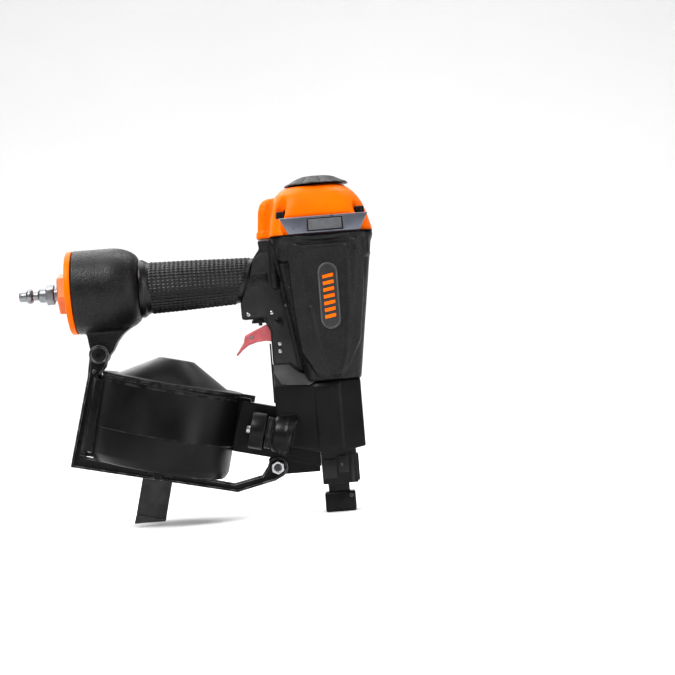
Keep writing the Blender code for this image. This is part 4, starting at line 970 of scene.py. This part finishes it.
def canister_lid():
    """The lid with its hollow cone and latch tongue."""
    low = MAG_HEIGHT + 0.5
    high = low + 2.8
    cone = [(13.9, 90.6), (14.6, 90.45), (15.3, 90.0), (44.6, high + 1.0), (45.6, high + 0.3), (46.6, high)]
    bm = turned([(0.0, 90.7)] + cone + [(52.0, high - 0.1), (55.6, high - 0.25), (56.2, high),
        (MAG_R - 0.6, high), (MAG_R, high - 0.6), (MAG_R, high - 1.7), (MAG_R - 0.5, high - 2.0),
        (MAG_R - 0.5, low), (42.4, low), (14.0, 88.0), (0.0, 88.0)], 200)
    tab = [(54.0, low + 0.1), (66.5, low + 0.1), (66.5, low - 2.4), (69.2, low - 2.4), (69.2, high),
        (54.0, high)]
    tongue = eased(prism(tab, -12.0, -1.0), 0.6, 3)
    bm = boolean(bm, tongue, "UNION")
    piece("lid_cone", bm, MAG, "mag_black", stands_for=("magazine_lid",))


# ---------------------------------------------------------------- bracket
def inset(outline, width):
    """A clockwise outline of (x, z) moved inwards."""
    moved = []
    for i in range(len(outline)):
        before, here, after = (Vector(outline[(i + k) % len(outline)]) for k in (-1, 0, 1))
        first, second = (here - before).normalized(), (after - here).normalized()
        inward = Vector((first.y + second.y, -first.x - second.x)).normalized()
        moved.append(tuple(here + inward * width / max(inward.dot(Vector((first.y, -first.x))), 0.4)))
    return moved


def bracket():
    """A pressed strap with a raised rim, rounded at the lug and at the front bolt, with light tubes along its
    edges as painted highlights.
    """
    def arc(centre, radius, start, end):
        return [(centre[0] + radius * math.cos(math.radians(a)), centre[1] + radius
            * math.sin(math.radians(a))) for a in range(start, end, -12)]
    outline = ([(-218.2, 53.1), (-198.8, 125.0), (-196.0, 140.6)] + arc(LUG_PIVOT, 8.2, 180, -20)
        + [(-182.4, 133.0), (-186.6, 128.2), (-204.9, 60.6), (-103.4, 34.2), (-85.4, 29.6), (-62.4, 34.4)]
        + arc(FRONT_BOLT, 8.4, 168, -80) + [(-52.0, 28.9), (-83.2, 22.0)])
    bm = prism(outline, -12.3, -8.3)
    bm = boolean(bm, prism(inset(outline, 1.7), -14.0, -11.2))
    for x, z in (LUG_PIVOT, FRONT_BOLT):
        bm = boolean(bm, rod(3.4, -5.0, 20.0, 40, along("Y", x, 0.0, z)))
    slot = box((-9.0, 12.0), (-16.0, -5.0), (-7.5, -3.3), TOOL.inverted() @ MAG)
    bm = boolean(bm, slot)
    piece("bracket_strap", eased(bm, 0.35, 3), TOOL, "black_steel", stands_for=("magazine_bracket",))
    # Thin light tubes along the strap's edges: painted highlights on the rim.
    for name, width in (("bracket_edge_highlight", 0.45), ("bracket_inner_edge_highlight", 1.6)):
        edge = [(x, -12.2, z) for x, z in inset(outline, width)]
        piece(name, tube(bmesh.new(), edge, 0.3, 10, True), TOOL, "highlight_grey",
            crease=80.0)
    bm = turned([(0.0, 0.0), (1.7, 0.0), (1.7, 0.8), (1.1, 1.2), (0.0, 1.3)], 28,
        along("Y", -193.0, -11.2, 129.8))
    piece("bracket_rivet", bm, TOOL, "guide_steel")


def bracket_fasteners():
    """The bracket's screw at the lug and a light ring round it, a painted highlight on the screw's rim."""
    socket_screw("bracket_screw", "bracket_bolt", along("Y", LUG_PIVOT[0], -11.6, LUG_PIVOT[1]), 5.6, 3.6,
        2.7)
    # The light ring round the screw head is a painted highlight.
    bm = turned([(5.8, 0.0), (7.4, 0.0), (7.4, 0.35), (7.0, 0.6), (5.8, 0.6)], 48,
        along("Y", LUG_PIVOT[0], -11.3, LUG_PIVOT[1]))
    piece("bracket_eye_highlight_ring", bm, TOOL, "highlight_grey", crease=30.0)


def hinge_knuckles():
    """The head of the door's hinge pin."""
    bm = rod(2.1, -0.2, 0.4, 24, along("Z", DOOR_HINGE.x, DOOR_HINGE.y, MAG_HEIGHT))
    piece("hinge_pin_head", bm, MAG, "black_steel")


# ---------------------------------------------------------------- feeder
def feeder():
    """The nail feeder: cap, grooved barrel, flared saddle and adjusting screw."""
    y, z = FEEDER
    place = along("X", 0.0, y, z)
    bm = turned([(10.2, 82.6), (14.0, 82.6), (14.8, 82.0), (14.9, 81.2), (14.9, 71.8), (14.5, 71.0),
        (13.6, 70.6), (6.4, 70.6), (6.0, 71.2), (3.0, 71.2), (3.0, 73.1), (10.2, 73.1)], 96, place)
    piece("feeder_ring", bm, MAG, "mag_black", stands_for=("feeder_cap",))
    bm = turned([(10.2, 89.1), (12.7, 89.1), (13.1, 88.7), (13.1, 86.6), (12.8, 86.4), (12.8, 85.8),
        (13.1, 85.6), (13.1, 83.6), (12.6, 83.0), (10.2, 83.0)], 96, place)
    piece("feeder_barrel", bm, MAG, "mag_black", stands_for=("feeder_cylinder",))
    flare = flow([(13.4, 89.5), (14.4, 91.0), (15.2, 93.6), (15.8, 97.0), (16.6, 103.0), (17.2, 109.0)], 5)
    bm = turned([(12.0, 89.5)] + flare + [(12.0, 109.0)], 96, place)
    slant = Matrix.Translation((107.6, y, z + 16.8)) @ Matrix.Rotation(math.radians(14.0), 4, "Y")
    bm = boolean(bm, box((0.0, 40.0), (-60.0, 60.0), (-60.0, 20.0), slant))
    piece("feeder_saddle", bm, MAG, "mag_black")
    head = [(0.0, 0.0), (3.1, 0.0), (3.1, 2.8), (2.6, 3.4), (0.0, 3.4)]
    bm = boolean(turned(head, 48), rod(1.5, 1.36, 6.4, 6))
    bm.transform(along("X", 66.6, y, z) @ Matrix.Rotation(math.pi, 4, "X")
        @ Matrix.Translation((0.0, 0.0, -3.6)))
    piece("feeder_bolt", bm, MAG, "zinc", stands_for=("feeder_screw",))


# ---------------------------------------------------------------- shingle guide
def shingle_guide():
    """The sliding guide blade."""
    bm = eased(from_cad("shingle_guide", MAG), 0.2, 2, 50.0)
    piece("guide_blade", bm, MAG, "guide_steel", "shingle_guide", ("shingle_guide",),
        crease=12.0)


# ---------------------------------------------------------------- stage, light and camera
def studio():
    """A pale floor that curves up far behind, and soft lights."""
    centre = (cad_low + cad_high) / 2.0
    span = (cad_high - cad_low).length
    sweep = bmesh.new()
    profile = [(-6.0, 0.0), (2.0, 0.0)]
    profile += [(2.0 + 1.5 * math.sin(math.radians(a)), 1.5 - 1.5 * math.cos(math.radians(a)))
        for a in range(6, 91, 6)]
    profile += [(3.5, 6.0)]
    for x in (-8.0, 8.0):
        for y, z in profile:
            sweep.verts.new((x, y, z - 0.0005))
    sweep.verts.ensure_lookup_table()
    count = len(profile)
    for i in range(count - 1):
        sweep.faces.new((sweep.verts[i], sweep.verts[count + i], sweep.verts[count + i + 1],
            sweep.verts[i + 1]))
    mesh = bpy.data.meshes.new("studio_floor")
    sweep.to_mesh(mesh)
    sweep.free()
    mesh.shade_smooth()
    floor = bpy.data.objects.new("studio_floor", mesh)
    scene.collection.objects.link(floor)
    paper = Look("paper", (0.93, 0.93, 0.93), 0.8).mottle((0.9, 0.9, 0.9), 900.0).polished(300.0, 0.04)
    mesh.materials.append(paper.done())

    world = bpy.data.worlds.new("studio")
    world.use_nodes = True
    ambient = world.node_tree.nodes["Background"].inputs
    ambient["Color"].default_value = (1.0, 1.0, 1.0, 1.0)
    ambient["Strength"].default_value = 0.16
    scene.world = world

    def softbox(name, place, power, width, height):
        light = bpy.data.lights.new(name, "AREA")
        light.shape = "RECTANGLE"
        light.size = width
        light.size_y = height
        light.energy = power
        item = bpy.data.objects.new(name, light)
        item.location = centre + Vector(place) * span
        item.rotation_mode = "QUATERNION"
        item.rotation_quaternion = (centre - item.location).to_track_quat("-Z", "Y")
        scene.collection.objects.link(item)
    softbox("key", (-1.5, -1.9, 2.9), 26.0, 0.8, 0.6)
    softbox("side", (2.4, -1.9, 0.8), 6.0, 0.25, 1.1)
    softbox("sky", (0.0, 1.2, 6.2), 24.0, 3.0, 3.0)
    softbox("back", (-1.2, 2.2, 1.4), 4.0, 0.8, 0.8)
    softbox("wall", (0.0, 6.0, 12.0), 260.0, 6.0, 4.0)


def camera():
    """A level view, square to the side, and turned a little about the line of sight."""
    roll, distance, height = 4.5, 1.5, -0.4
    data = bpy.data.cameras.new("camera")
    data.lens = 96.9
    data.sensor_width = 36.0
    item = bpy.data.objects.new("camera", data)
    target = TOOL @ Vector((8.0, 0.0, 142.0))
    back = Vector((0.0, -math.cos(math.radians(height)), math.sin(math.radians(height))))
    item.location = target + back * distance
    item.rotation_mode = "QUATERNION"
    facing = (-back).to_track_quat("-Z", "Y")
    item.rotation_quaternion = facing @ Matrix.Rotation(math.radians(-roll), 3, "Z").to_quaternion()
    scene.collection.objects.link(item)
    scene.camera = item
    scene.view_settings.view_transform = "Standard"
    scene.view_settings.look = "Medium High Contrast"


camera()
studio()
paint_cad()
housing()
ear_plates()
grip()
end_disc()
quick_plug()
cap()
cap_screws()
side_plates()
deflector()
badge()
trigger()
pin_heads()
nose_shroud()
depth_wheel()
nose_details()
contact_tip()
contact_arm()
canister()
feed_collar()
canister_lid()
bracket()
bracket_fasteners()
hinge_knuckles()
feeder()
shingle_guide()
